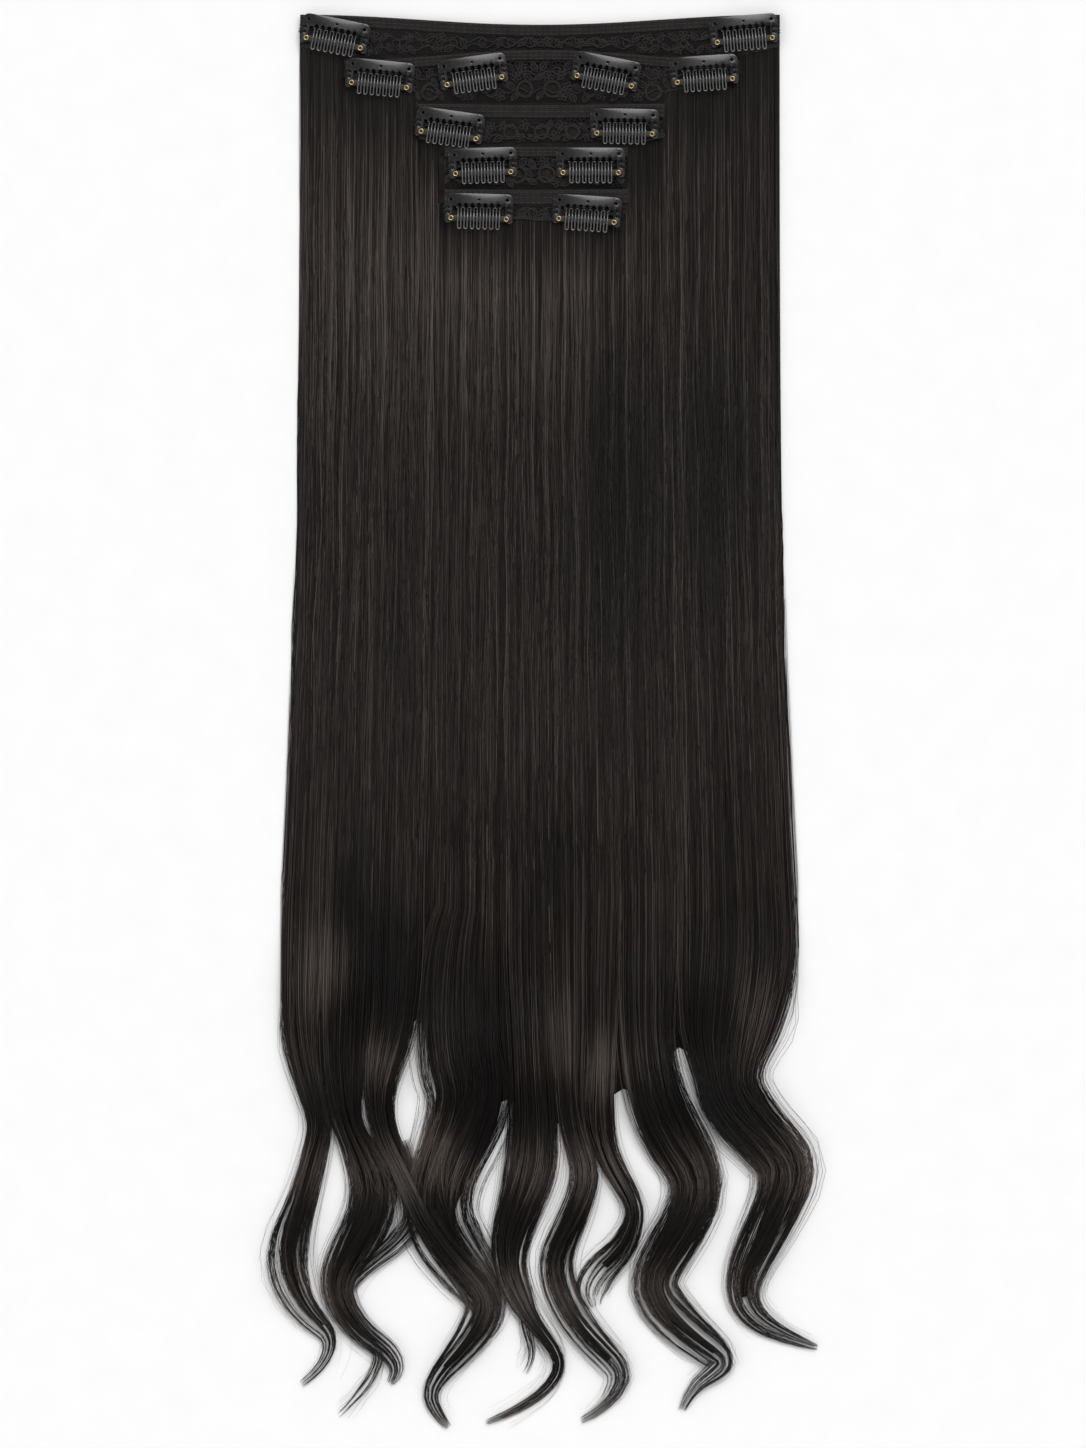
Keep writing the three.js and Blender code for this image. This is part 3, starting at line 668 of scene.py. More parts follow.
class Spline:
    """A smooth line through a lock's sections, with its width, depth and lift."""

    def __init__(self, sections: tuple[tuple[float, ...], ...]) -> None:
        """Keeps the sections as points in millimetres and their sizes."""
        table = np.array(sections, float)
        self.spans = len(table) - 1
        self.places = np.stack([table[:, 0] * S.half, S.wave_top - table[:, 1] * S.wave_length], 1)
        self.sizes = table[:, 2:] * np.array([S.lock_width, S.lock_depth, 1.0])
        self.downs = table[:, 1]

    @staticmethod
    def through(values: np.ndarray, share: np.ndarray) -> np.ndarray:
        """Values on the smooth line through a column of values."""
        ends = np.concatenate([[2 * values[0] - values[1]], values, [2 * values[-1] - values[-2]]])
        at = np.clip(share, 0, 1) * (len(values) - 1)
        span = np.minimum(at.astype(int), len(values) - 2)
        t = (at - span)[..., None]
        a, b, c, d = (ends[span + i] for i in range(4))
        square, cube = 2 * a - 5 * b + 4 * c - d, 3 * b - a - 3 * c + d
        return 0.5 * (2 * b + (c - a) * t + square * t**2 + cube * t**3)

    def rounded(self, share: np.ndarray) -> np.ndarray:
        """The centre line with its bends rounded off."""
        reach = 0.3 / self.spans
        shares = (share - 2 * reach, share - reach, share, share + reach, share + 2 * reach)
        weights = (0.1, 0.22, 0.36, 0.22, 0.1)
        return sum(weight * self.through(self.places, at) for weight, at in zip(weights, shares))

    def at(self, share: np.ndarray) -> tuple[np.ndarray, np.ndarray, np.ndarray, np.ndarray]:
        """The line's places and sizes at shares of its length.

        Args:
            share: Shares from 0 at the lock's start to 1 at its tip.

        Returns:
            The centres, the directions across, the [width, depth, lift] there, and the drop by
            the waves' length.
        """
        centre, step = self.rounded(share), 0.006
        ahead = self.rounded(share + step) - self.rounded(share - step)
        ahead /= np.linalg.norm(ahead, axis=-1, keepdims=True)
        side = np.stack([-ahead[..., 1], ahead[..., 0]], -1)
        sizes = np.maximum(self.through(self.sizes, share), 0)
        return centre, side, sizes, self.through(self.downs[:, None], share)[..., 0]


class PaintedLight(Enum):
    """Which light is painted on the hair in a spot: painted shade or painted highlight."""

    PAINTED_SHADE = -1.0
    PAINTED_HIGHLIGHT = 1.0


# Spots of painted shade and painted highlight on the hair: kind, across by half the width, down
# by the length of the waves below their start, reach across and reach down in millimetres, and strength.
PAINTED_LIGHT_SPOTS = (
    (PaintedLight.PAINTED_SHADE, -0.65, 0.16, 9, 22, 0.5),
    (PaintedLight.PAINTED_SHADE, -0.24, 0.34, 8, 26, 0.45),
    (PaintedLight.PAINTED_SHADE, 0.63, 0.31, 9, 24, 0.4),
    (PaintedLight.PAINTED_SHADE, -0.81, 0.0, 5, 9, 0.35),
    (PaintedLight.PAINTED_SHADE, -0.84, 0.26, 7, 14, 0.3),
    (PaintedLight.PAINTED_SHADE, 0.16, 0.26, 5, 16, 0.25),
    (PaintedLight.PAINTED_SHADE, 0.32, -0.8, 12, 40, 0.22),
    (PaintedLight.PAINTED_SHADE, 0.73, -0.84, 10, 34, 0.22),
    (PaintedLight.PAINTED_SHADE, 0.08, -0.05, 7, 20, 0.15),
    (PaintedLight.PAINTED_HIGHLIGHT, -0.93, 0.14, 8, 16, 0.4),
    (PaintedLight.PAINTED_HIGHLIGHT, -0.68, 0.29, 7, 12, 0.35),
    (PaintedLight.PAINTED_HIGHLIGHT, -0.45, 0.42, 6, 13, 0.35),
    (PaintedLight.PAINTED_HIGHLIGHT, 0.09, 0.23, 6, 12, 0.25),
    (PaintedLight.PAINTED_HIGHLIGHT, 0.23, 0.34, 9, 15, 0.4),
    (PaintedLight.PAINTED_HIGHLIGHT, 0.88, 0.2, 6, 10, 0.35),
    (PaintedLight.PAINTED_HIGHLIGHT, -0.85, -1.15, 40, 40, 0.14),
    (PaintedLight.PAINTED_HIGHLIGHT, -0.3, -1.2, 30, 40, 0.14),
    (PaintedLight.PAINTED_HIGHLIGHT, 0.25, -1.18, 30, 40, 0.12),
)


def painted_light_at(points: np.ndarray) -> np.ndarray:
    """The painted highlight and shade on the hair at points in millimetres: the spots' table, and the shade
    painted behind the lace.
    """
    value = np.zeros(points.shape[:-1])
    for depth, across, down, reach_x, reach_y, strength in PAINTED_LIGHT_SPOTS:
        dx = (points[..., 0] - across * S.half) / reach_x
        dy = (points[..., 1] - (S.wave_top - down * S.wave_length)) / reach_y
        # depth here is the spot's kind: painted highlight at +1, painted shade at -1.
        value += PAINTED_LIGHT_GAIN * depth.value * strength * np.exp(-(dx**2 + dy**2) / 2)
    # Painted shade on the hair that lies behind the lace.
    for row in ROWS:
        x, y = points[..., 0], points[..., 1]
        within = (x > row.left * S.half + 1) & (x < row.right * S.half - 1)
        within &= (y > Lace.bottom(row, x) - 0.3) & (y < row.band_top(x))
        value -= LACE_SHADE * (within & (value > -0.4))
    return value


def streak(x: np.ndarray, y: np.ndarray) -> np.ndarray:
    """The light and dark runs of straight hair, by where a strand starts and how far down it is."""
    random = np.random.default_rng(3)
    value = np.zeros(np.broadcast(x, y).shape)
    for period in (8.3, 3.9, 2.1, 1.3, 0.85, 0.6):
        turn, sway, reach = random.uniform(0, math.tau, 2).tolist() + [random.uniform(35, 90)]
        value += np.sin(math.tau * x / period + turn + 1.7 * np.sin(y / reach + sway))
    return 0.075 * value


@dataclass
class Hair:
    """The five falls of hair and their locks: a body of hair for each row, and loose strands."""

    fall_strands: int = 3400
    stray_strands: int = 150
    strand_radius: float = 0.15
    stray_radius: float = 0.07
    lock_points: int = 29
    fall_points: int = 9
    edge_taper: float = 24.0
    wave_rise: float = 2.2
    seed: int = 11
    finish: HairFinish = field(default_factory=HairFinish)

    def surface(self, x: np.ndarray, y: np.ndarray, rows: int = 5) -> np.ndarray:
        """The height of the topmost straight hair.

        Args:
            x: Places across, in millimetres.
            y: Places along.
            rows: How many rows lie there, from the lowest up.

        Returns:
            The height over each place, in millimetres.
        """
        height = np.zeros(np.shape(x))
        for row in ROWS[:rows]:
            left, right = row.edges(y)
            inside = smooth(np.minimum(x - left, right - x), -0.5, self.edge_taper if row.index else 3.0)
            height = mixed(height, row.floor + S.hair_depth, inside * (y < row.band_top(x)))
        down = (S.wave_top - y) / S.wave_length
        return 0.5 + height * (1 - smooth(down, -0.14, 0.2)) * 0.97

    def fall_mesh(self, row: Row, across: int = 72, along: int = 46) -> Body:
        """One row's straight fall: a closed, softly ribbed body with thin edges.

        Args:
            row: The row.
            across: Steps across.
            along: Steps along.

        Returns:
            Its points, faces and flow coordinates.
        """
        random = np.random.default_rng(self.seed + row.index)
        u = np.linspace(0, 1, across + 1)[None, :]
        foot = np.full_like(u, S.wave_top - 0.16 * S.wave_length)
        if row.index == 0:
            hem = np.array(PARTINGS)
            foot_x = row.foot_left + (row.foot_right - row.foot_left) * u
            foot = S.wave_top - S.wave_length * (np.interp(foot_x, hem[:, 0], hem[:, 1]) - S.hem_tuck)
        down = np.linspace(0, 1, along + 1)[:, None]
        top_x = S.half * (row.left + (row.right - row.left) * u)
        y = mixed(row.band_top(top_x), foot, down)
        left, right = row.edges(y)
        x = mixed(left, right, u)
        ribs = np.cumsum(random.normal(0, 0.05, across + 1))
        ribs = np.clip(ribs - np.linspace(ribs[0], ribs[-1], across + 1), -0.1, 0.1)
        inner = y - 0.01 * (row.index == 0)
        upper = self.surface(x, inner, row.index + 1) - 0.12 + ribs * smooth(np.minimum(u, 1 - u), 0, 0.1)
        under = self.surface(x, inner, row.index) if row.index else np.zeros_like(x)
        lower = np.maximum(np.minimum(under - 0.1, upper - 0.08), 0.02)
        count = (across + 1) * (along + 1)
        heights = np.concatenate([upper.ravel(), lower.ravel()])
        points = np.stack([np.tile(x.ravel(), 2), np.tile(y.ravel(), 2), heights], 1)
        faces = []
        wide = across + 1
        for j in range(along):
            for i in range(across):
                a = j * wide + i
                faces.append((a, a + wide, a + wide + 1, a + 1))
                faces.append((a + count, a + count + 1, a + count + wide + 1, a + count + wide))
        for j in range(along):
            a, b = j * wide, j * wide + across
            faces.append((a, a + count, a + count + wide, a + wide))
            faces.append((b, b + wide, b + wide + count, b + count))
        for i in range(across):
            a, b = i, along * wide + i
            faces.append((a, a + 1, a + 1 + count, a + count))
            faces.append((b, b + count, b + 1 + count, b + 1))
        flow = np.stack([np.tile((x / (2 * S.half)).ravel(), 2), np.tile((y / 600).ravel(), 2)], 1)
        return points, faces, flow

    def lock_mesh(self, lock: Lock, sides: int = 14, steps: int = 64) -> Body:
        """The body of one lock, narrower than its strands and ending before their tips.

        Args:
            lock: The lock.
            sides: Sides of its section.
            steps: Sections along it.

        Returns:
            Its points, faces and flow coordinates.
        """
        spline = Spline(lock.sections)
        share = np.linspace(0, 0.8, steps + 1)
        centre, side, sizes, down = spline.at(share)
        angle = np.linspace(0, 2 * math.pi, sides, endpoint=False)
        fade = 1.0 - 0.12 * smooth(down, 0.1, 0.4) - 0.62 * smooth(share, 0.4, 0.78)
        width = (sizes[:, 0] * fade)[:, None] / 2 * np.cos(angle)
        height = sizes[:, 1, None] * (0.46 + 0.4 * np.sin(angle)) * np.where(np.sin(angle) > 0, 1.0, 1.1)
        plan = centre[:, None, :] + side[:, None, :] * width[..., None]
        swell = smooth(down, -0.04, 0.16)[:, None]
        waved = self.undulation(lock, share, down)[:, None] + 0.7 * height
        own = swell * waved - 0.5 + 0.15 * np.sin(angle)
        rise = self.surface(plan[..., 0], plan[..., 1]) + own
        points = np.concatenate([plan, np.maximum(rise, 0.03)[..., None]], 2)
        faces = tube_faces(steps + 1, sides)
        around = np.tile(np.abs(angle / math.pi - 1) * 0.08, (steps + 1, 1))
        along = np.tile(share[:, None] * 0.5, (1, sides))
        flow = np.stack([around + centre[:, :1] / (2 * S.half), along], -1)
        return points.reshape(-1, 3), faces, flow.reshape(-1, 2)

    def undulation(self, lock: Lock, share: np.ndarray, down: np.ndarray) -> np.ndarray:
        """How far a lock lifts off where it lies as it waves, in millimetres."""
        turn = 2 * math.pi * (down / 0.27 + 0.13 * lock.row)
        lifted = smooth(down, 0.06, 0.25) * (1 - smooth(share, 0.8, 1.0))
        return self.wave_rise * (0.5 - 0.5 * np.cos(turn)) * lifted

    def body_piece(self, row: Row) -> Object:
        """The body of one row's hair: its fall and its locks in one piece."""
        parts = [self.fall_mesh(row)]
        parts += [self.lock_mesh(lock) for lock in LOCKS if lock.row == row.index and lock.strands > 100]
        points, faces, flows, start = [], [], [], 0
        for part_points, part_faces, flow in parts:
            points.append(part_points)
            faces += [tuple(corner + start for corner in face) for face in part_faces]
            flows.append(flow)
            start += len(part_points)
        points, flow = np.concatenate(points), np.concatenate(flows)
        piece = mesh_piece(f"hair_body_{row.index + 1}", points, faces, self.finish_mass)
        mesh = piece.data
        corners = np.empty(len(mesh.loops), np.int32)
        mesh.loops.foreach_get("vertex_index", corners)
        mesh.uv_layers.new(name="flow").data.foreach_set("uv", flow[corners].astype(np.float32).ravel())
        # Tone: the hair's own streaks with painted highlight and shade from the spots and behind the lace.
        tone = np.clip(0.36 + 0.6 * painted_light_at(points) + streak(points[:, 0], points[:, 1]), 0.03, 1)
        mesh.attributes.new("tone", "FLOAT", "POINT").data.foreach_set("value", tone.astype(np.float32))
        with_faces = bmesh.new()
        with_faces.from_mesh(mesh)
        bmesh.ops.recalc_face_normals(with_faces, faces=with_faces.faces)
        with_faces.to_mesh(mesh)
        with_faces.free()
        return piece

    def lock_lines(self, lock: Lock, random: np.random.Generator) -> Strands:
        """The strands of one lock, from the fall above it to their tips.

        Args:
            lock: The lock.
            random: The source of chance.

        Returns:
            Points, radii and tones, each by strand and by place along it.
        """
        spline = Spline(lock.sections)
        count, steps = lock.strands, self.lock_points
        reach = 1 - 0.27 * random.random(count) ** 1.5
        share = np.linspace(0, 1, steps)[None, :] * reach[:, None]
        centre, side, sizes, down = spline.at(share)
        u = random.uniform(-1, 1, count)
        fringe = random.random(count) < 0.16
        u = np.where(fringe, u + np.sign(u) * random.uniform(0.1, 0.35, count), u)
        middles = np.linspace(-0.85, 0.85, lock.clumps) + random.normal(0, 0.05, lock.clumps)
        distance = np.abs(u[:, None] - middles[None, :])
        nearest = np.argmin(distance + random.uniform(0, 0.2, (count, lock.clumps)), 1)
        swing = random.uniform(-1, 1, (lock.clumps, 3))
        wander = sum(
            swing[nearest, i][:, None] * np.sin(2 * math.pi * ((i + 0.6) * share + 0.21 * nearest[:, None]))
            for i in range(3)) * 0.14
        own = np.zeros_like(share)
        for i in range(3):
            swerve = random.uniform(-1, 1, (count, 1))
            own += 0.05 * swerve * np.sin(2 * math.pi * ((i + 1.3) * share + random.random((count, 1))))
        tight = random.uniform(0.25, 0.75, lock.clumps)[nearest][:, None]
        gather = smooth(share, 0.3, 0.8) * tight * ~fringe[:, None]
        lateral = mixed(u[:, None], middles[nearest][:, None], gather)
        lateral += (wander + own) * smooth(share, 0.08, 0.5)
        spare = np.minimum(1, 0.6 * S.lock_width / np.maximum(sizes[..., 0], 0.1))
        breadth = 1 + (0.3 - 0.16 * smooth(down, 0.08, 0.35)) * spare + 0.22 * smooth(share, 0.5, 0.9)
        plan = centre + side * (lateral * breadth * sizes[..., 0] / 2)[..., None]
        layer = random.random(count)[:, None] ** 0.4
        dome = 0.35 + 0.65 * np.sqrt(np.clip(1 - np.clip(np.abs(lateral), 0, 1) ** 2, 0, 1))
        own = self.undulation(lock, share, down) + sizes[..., 1] * (0.1 + 0.9 * layer * dome)
        height = self.surface(plan[..., 0], plan[..., 1]) + own * smooth(down, -0.04, 0.16) + 0.35 * layer
        over = smooth(down, 0.16, 0.32)
        left, right = ROWS[0].edges(plan[..., 1])
        low, high = left - random.uniform(0, 2.2, (count, 1)), right + random.uniform(0, 4.4, (count, 1))
        plan[..., 0] = mixed(np.clip(plan[..., 0], low, high), plan[..., 0], over)
        lines = np.concatenate([plan, height[..., None]], 2)
        if lock.strands > 100:
            lines = np.concatenate([self.lead(lines[:, 0], random, layer), lines], 1)
        places = lines.shape[1]
        along = np.linspace(0, 1, places)[None, :]
        taper = np.clip(1 - smooth(along, 0.65, 1.0) * 0.6, 0.1, 1) * (0.5 + 0.5 * smooth(along, 0, 0.06))
        thin = np.where(fringe, 0.55, 1.0)[:, None]
        radius = self.strand_radius * random.uniform(0.7, 1.25, (count, 1)) * thin * taper
        clump_tone = random.normal(0, 0.05, lock.clumps)[nearest]
        tone = 0.43 + clump_tone[:, None] + random.normal(0, 0.17, (count, 1))
        # Painted highlight and shade: the spots' table with the lace's shade, then the bright and dark bands
        # on the waves.
        tone = tone + painted_light_at(lines) * random.uniform(0.3, 1.7, (count, 1))
        tone = tone + streak(lines[:, :1, 0], lines[..., 1]) + self.shine(down, share, lines.shape[1])
        return lines, radius, tone

    @staticmethod
    def shine(down: np.ndarray, share: np.ndarray, places: int) -> np.ndarray:
        """Painted highlight and shade along a lock's waves: bright where it turns up, dark where it turns
        away; darker towards the tips.
        """
        band = 0.38 * np.sin(math.tau * (down / 0.235 + 0.1)) * smooth(down, 0.2, 0.42)
        return np.pad(band - 0.2 * smooth(share, 0.7, 1.0), ((0, 0), (places - share.shape[1], 0)))

    def lead(self, foot: np.ndarray, random: np.random.Generator, layer: np.ndarray) -> np.ndarray:
        """The straight stretch above each strand of a lock, where it comes out of the fall."""
        start = foot[:, 1] + random.uniform(20, 150, len(foot))
        share = np.array([0, 0.4, 0.75])[None, :]
        y = mixed(start[:, None], foot[:, 1:2], share)
        x = self.strand_x(foot[:, :1], foot[:, 1:2], y)
        z = self.surface(x, y) + 0.35 * layer
        return np.stack([x, y, z], -1)

    @staticmethod
    def strand_x(foot_x: np.ndarray, foot_y: np.ndarray, y: np.ndarray) -> np.ndarray:
        """The X at a height of a straight strand that ends in foot_x at foot_y."""
        top_x = -0.4 + foot_x * 0.941
        down = np.clip((S.top - y) / (S.top - foot_y), 0, 1)
        return mixed(top_x, foot_x, down**3)

    def fall_lines(self, random: np.random.Generator) -> Strands:
        """The straight strands over the whole width, from their row's band to the first waves."""
        count = self.fall_strands
        foot_x = random.uniform(-1.075, 1.04, count) * S.half
        foot_y = S.wave_top - S.wave_length * random.uniform(-0.3, 0.12, count)
        top_x = self.strand_x(foot_x, foot_y, np.full(count, S.top))
        start = np.full(count, ROWS[0].band_bottom(top_x))
        for row in ROWS[1:]:
            within = (top_x > row.left * S.half + 0.5) & (top_x < row.right * S.half - 0.5)
            start = np.where(within, row.band_bottom(top_x) + 1.0, start)
        late = random.random(count) < 0.4
        start = np.where(late, start - random.uniform(5, 200, count), start)
        share = np.linspace(0, 1, self.fall_points)[None, :]
        y = mixed(start[:, None], foot_y[:, None], share)
        x = self.strand_x(foot_x[:, None], foot_y[:, None], y)
        turn = 3 * np.sin(foot_x / 6.1) + 2 * np.sin(foot_x / 2.3 + 1)
        sway = 0.9 * np.sin(y / 16 + turn[:, None]) + random.normal(0, 0.4, (count, self.fall_points))
        x = x + sway * np.sin(math.pi * share)
        layer = random.random((count, 1))
        z = self.surface(x, y) + 0.05 + 0.3 * layer
        lines = np.stack([x, y, z], -1)
        taper = 1 - 0.75 * smooth(share, 0.85, 1.0)
        radius = self.strand_radius * random.uniform(0.7, 1.35, (count, 1)) * taper
        tone = 0.4 + random.normal(0, 0.17, (count, 1)) + streak(foot_x[:, None], y)
        # Painted highlight and shade from the spots' table and behind the lace.
        tone = tone + painted_light_at(lines) * random.uniform(0.3, 1.7, (count, 1))
        return lines, radius, tone

    def stray_lines(self, random: np.random.Generator) -> Strands:
        """Single stray hairs that wander off the locks' edges and tips."""
        count, steps = self.stray_strands, 26
        chosen = random.integers(0, len(LOCKS), count)
        lines = []
        for index in chosen:
            lock = LOCKS[index]
            spline = Spline(lock.sections)
            start, end = random.uniform(0.05, 0.55), random.uniform(0.75, 1.0)
            share = np.linspace(start, end, steps)
            centre, side, sizes, _ = spline.at(share)
            edge = random.choice([-1.0, 1.0]) * random.uniform(0.8, 1.1)
            drift = np.cumsum(random.normal(0, 0.35, steps))
            away = drift + random.uniform(0, 4.5) * smooth(share, start, end) * edge
            plan = centre + side * (edge * sizes[:, 0] / 2 + away)[:, None]
            kernel = np.ones(5) / 5
            for axis in range(2):
                padded = np.pad(plan[:, axis], 2, mode="edge")
                plan[:, axis] = np.convolve(padded, kernel, "valid")
            height = 0.3 + random.uniform(0.1, 3.0) * np.sin(math.pi * share) ** 2
            lines.append(np.column_stack([plan, height]))
        lines = np.array(lines)
        lines[..., 0] = np.clip(lines[..., 0], -1.135 * S.half, 1.165 * S.half)
        taper = 1 - 0.6 * np.linspace(0, 1, steps)[None, :]
        radius = self.stray_radius * random.uniform(0.7, 1.2, (count, 1)) * taper
        return lines, radius, np.full(lines.shape[:2], 0.5)

    def strand_piece(self, name: str, sets: list[Strands]) -> Object:
        """One piece of strands, swept by the tree.

        Args:
            name: The piece's name.
            sets: Points, radii and tones of each set of strands.

        Returns:
            The piece.
        """
        lines, radii, tones = [], [], []
        for points, radius, tone in sets:
            tone = np.broadcast_to(tone, points.shape[:2])
            radius = np.broadcast_to(radius, points.shape[:2])
            lines += [framed(line) for line in points]
            radii += list(radius * MM)
            tones += list(np.clip(tone, 0, 1))
        seed = line_seed(name, lines, {"thickness": radii, "tone": tones})
        return self.tree.grown(name, seed, {"Sides": 3, "Finish": self.finish_strand})

    def build(self) -> None:
        """Makes the bodies of hair, then the strands over them."""
        self.finish_mass, self.finish_strand = self.finish.mass(), self.finish.strand()
        self.tree = thread_tree()
        random = np.random.default_rng(self.seed)
        for row in ROWS:
            worn(self.body_piece(row), nodes=(f"hair_fall_{row.index + 1}",))
        falls = self.fall_lines(random)
        strays = self.stray_lines(random)
        for row in ROWS:
            sets = [self.lock_lines(lock, random) for lock in LOCKS if lock.row == row.index]
            worn(self.strand_piece(f"lock_strands_{row.index + 1}", sets))
        third = np.digitize(falls[0][:, 0, 0], [-0.35 * S.half, 0.35 * S.half])
        for part, name in enumerate(("left", "middle", "right")):
            chosen = tuple(array[third == part] for array in falls)
            worn(self.strand_piece(f"fall_strands_{name}", [chosen]))
        worn(self.strand_piece("stray_strands", [strays]))


@dataclass(frozen=True)
class ClipPlace:
    """Where a clip sits: row, across by half the width, drop by the tier span, tilt clockwise."""

    row: int
    across: float
    drop: float
    tilt: float

    def matrix(self) -> Matrix:
        """From the clip's own millimetres to metres in the shared frame."""
        seat = ROWS[self.row].floor + S.seat_rise
        place = Vector((self.across * S.half, S.top - self.drop * S.tier_span, seat)) + Vector(SHIFT)
        turned = Matrix.Rotation(math.radians(-self.tilt), 4, "Z")
        return Matrix.Scale(MM, 4) @ Matrix.Translation(place) @ turned

    def local(self, x: np.ndarray, y: np.ndarray) -> tuple[np.ndarray, np.ndarray]:
        """Places of the part, in the clip's own millimetres."""
        dx, dy = x - self.across * S.half, y - (S.top - self.drop * S.tier_span)
        turn = math.radians(self.tilt)
        return dx * math.cos(turn) - dy * math.sin(turn), dx * math.sin(turn) + dy * math.cos(turn)


CLIPS = (
    ClipPlace(0, -0.867, 0.119, 11), ClipPlace(0, 0.834, 0.102, -5),
    ClipPlace(1, -0.68, 0.36, 5.5), ClipPlace(1, -0.293, 0.337, -8),
    ClipPlace(1, 0.26, 0.337, 11), ClipPlace(1, 0.668, 0.334, -4),
    ClipPlace(2, -0.389, 0.646, 8), ClipPlace(2, 0.337, 0.637, 1),
    ClipPlace(3, -0.252, 0.861, -2), ClipPlace(3, 0.196, 0.86, 0),
    ClipPlace(4, -0.268, 1.122, 1.5), ClipPlace(4, 0.181, 1.133, 4),
)


@dataclass(frozen=True)
class Opening:
    """A run of round openings in a lace panel, by the panel's half width and height."""

    row: int
    count: int
    start: float
    end: float
    down: float
    radius: float

    def centres(self) -> list[tuple[float, float]]:
        """The openings' centres, in millimetres."""
        row = ROWS[self.row]
        places = []
        for share in (1 + np.linspace(self.start, self.end, self.count)) / 2:
            x = S.half * (row.left + (row.right - row.left) * share)
            low = float(Lace.bottom(row, np.array(x)))
            places.append((x, mixed(float(row.band_bottom(x)), low, self.down)))
        return places


OPENINGS = (
    Opening(0, 11, -0.6, 0.6, 0.5, 1.5), Opening(1, 14, -0.92, 0.92, 0.24, 1.5),
    Opening(1, 2, -0.09, 0.05, 0.67, 3.2), Opening(1, 2, -0.57, 0.56, 0.72, 3.2),
    Opening(1, 2, -0.42, -0.26, 0.7, 2.2), Opening(1, 2, 0.24, 0.4, 0.7, 2.2),
    Opening(2, 7, -0.75, 0.75, 0.5, 2.6), Opening(3, 6, -0.75, 0.75, 0.55, 3.2),
    Opening(4, 7, -0.8, 0.8, 0.5, 1.9),
)


@dataclass(frozen=True)
class Leaf:
    """One leaf or petal of the lace: its middle, the way it points, its length and width."""

    x: float
    y: float
    turn: float
    length: float
    width: float

    def covers(self, x: np.ndarray, y: np.ndarray) -> np.ndarray:
        """Which places lie in the leaf."""
        dx, dy = x - self.x, y - self.y
        along = (dx * math.cos(self.turn) + dy * math.sin(self.turn)) * 2 / self.length
        across = (dy * math.cos(self.turn) - dx * math.sin(self.turn)) * 2 / self.width
        return (np.abs(along) < 1) & (np.abs(across) < 1 - along**2)

    def drawn(self, line: np.ndarray) -> np.ndarray:
        """A line in the leaf's own measures, from -1 to 1, laid over the panel."""
        along, across = line[:, 0] * self.length / 2, line[:, 1] * self.width / 2
        x = self.x + along * math.cos(self.turn) - across * math.sin(self.turn)
        y = self.y + along * math.sin(self.turn) + across * math.cos(self.turn)
        return np.stack([x, y], 1)

    def cords(self, steps: int) -> list[np.ndarray]:
        """The raised outline of the leaf and its vein."""
        half = np.linspace(-1, 1, steps)
        upper = np.stack([half, 1 - half**2], 1)
        lower = np.stack([half[::-1], half[::-1] ** 2 - 1], 1)
        lines = [self.drawn(np.concatenate([upper, lower[1:]]))]
        if self.length > 4:
            lines.append(self.drawn(np.array([[-1.15, -0.15], [-0.4, 0.08], [0.65, 0]])))
        return lines


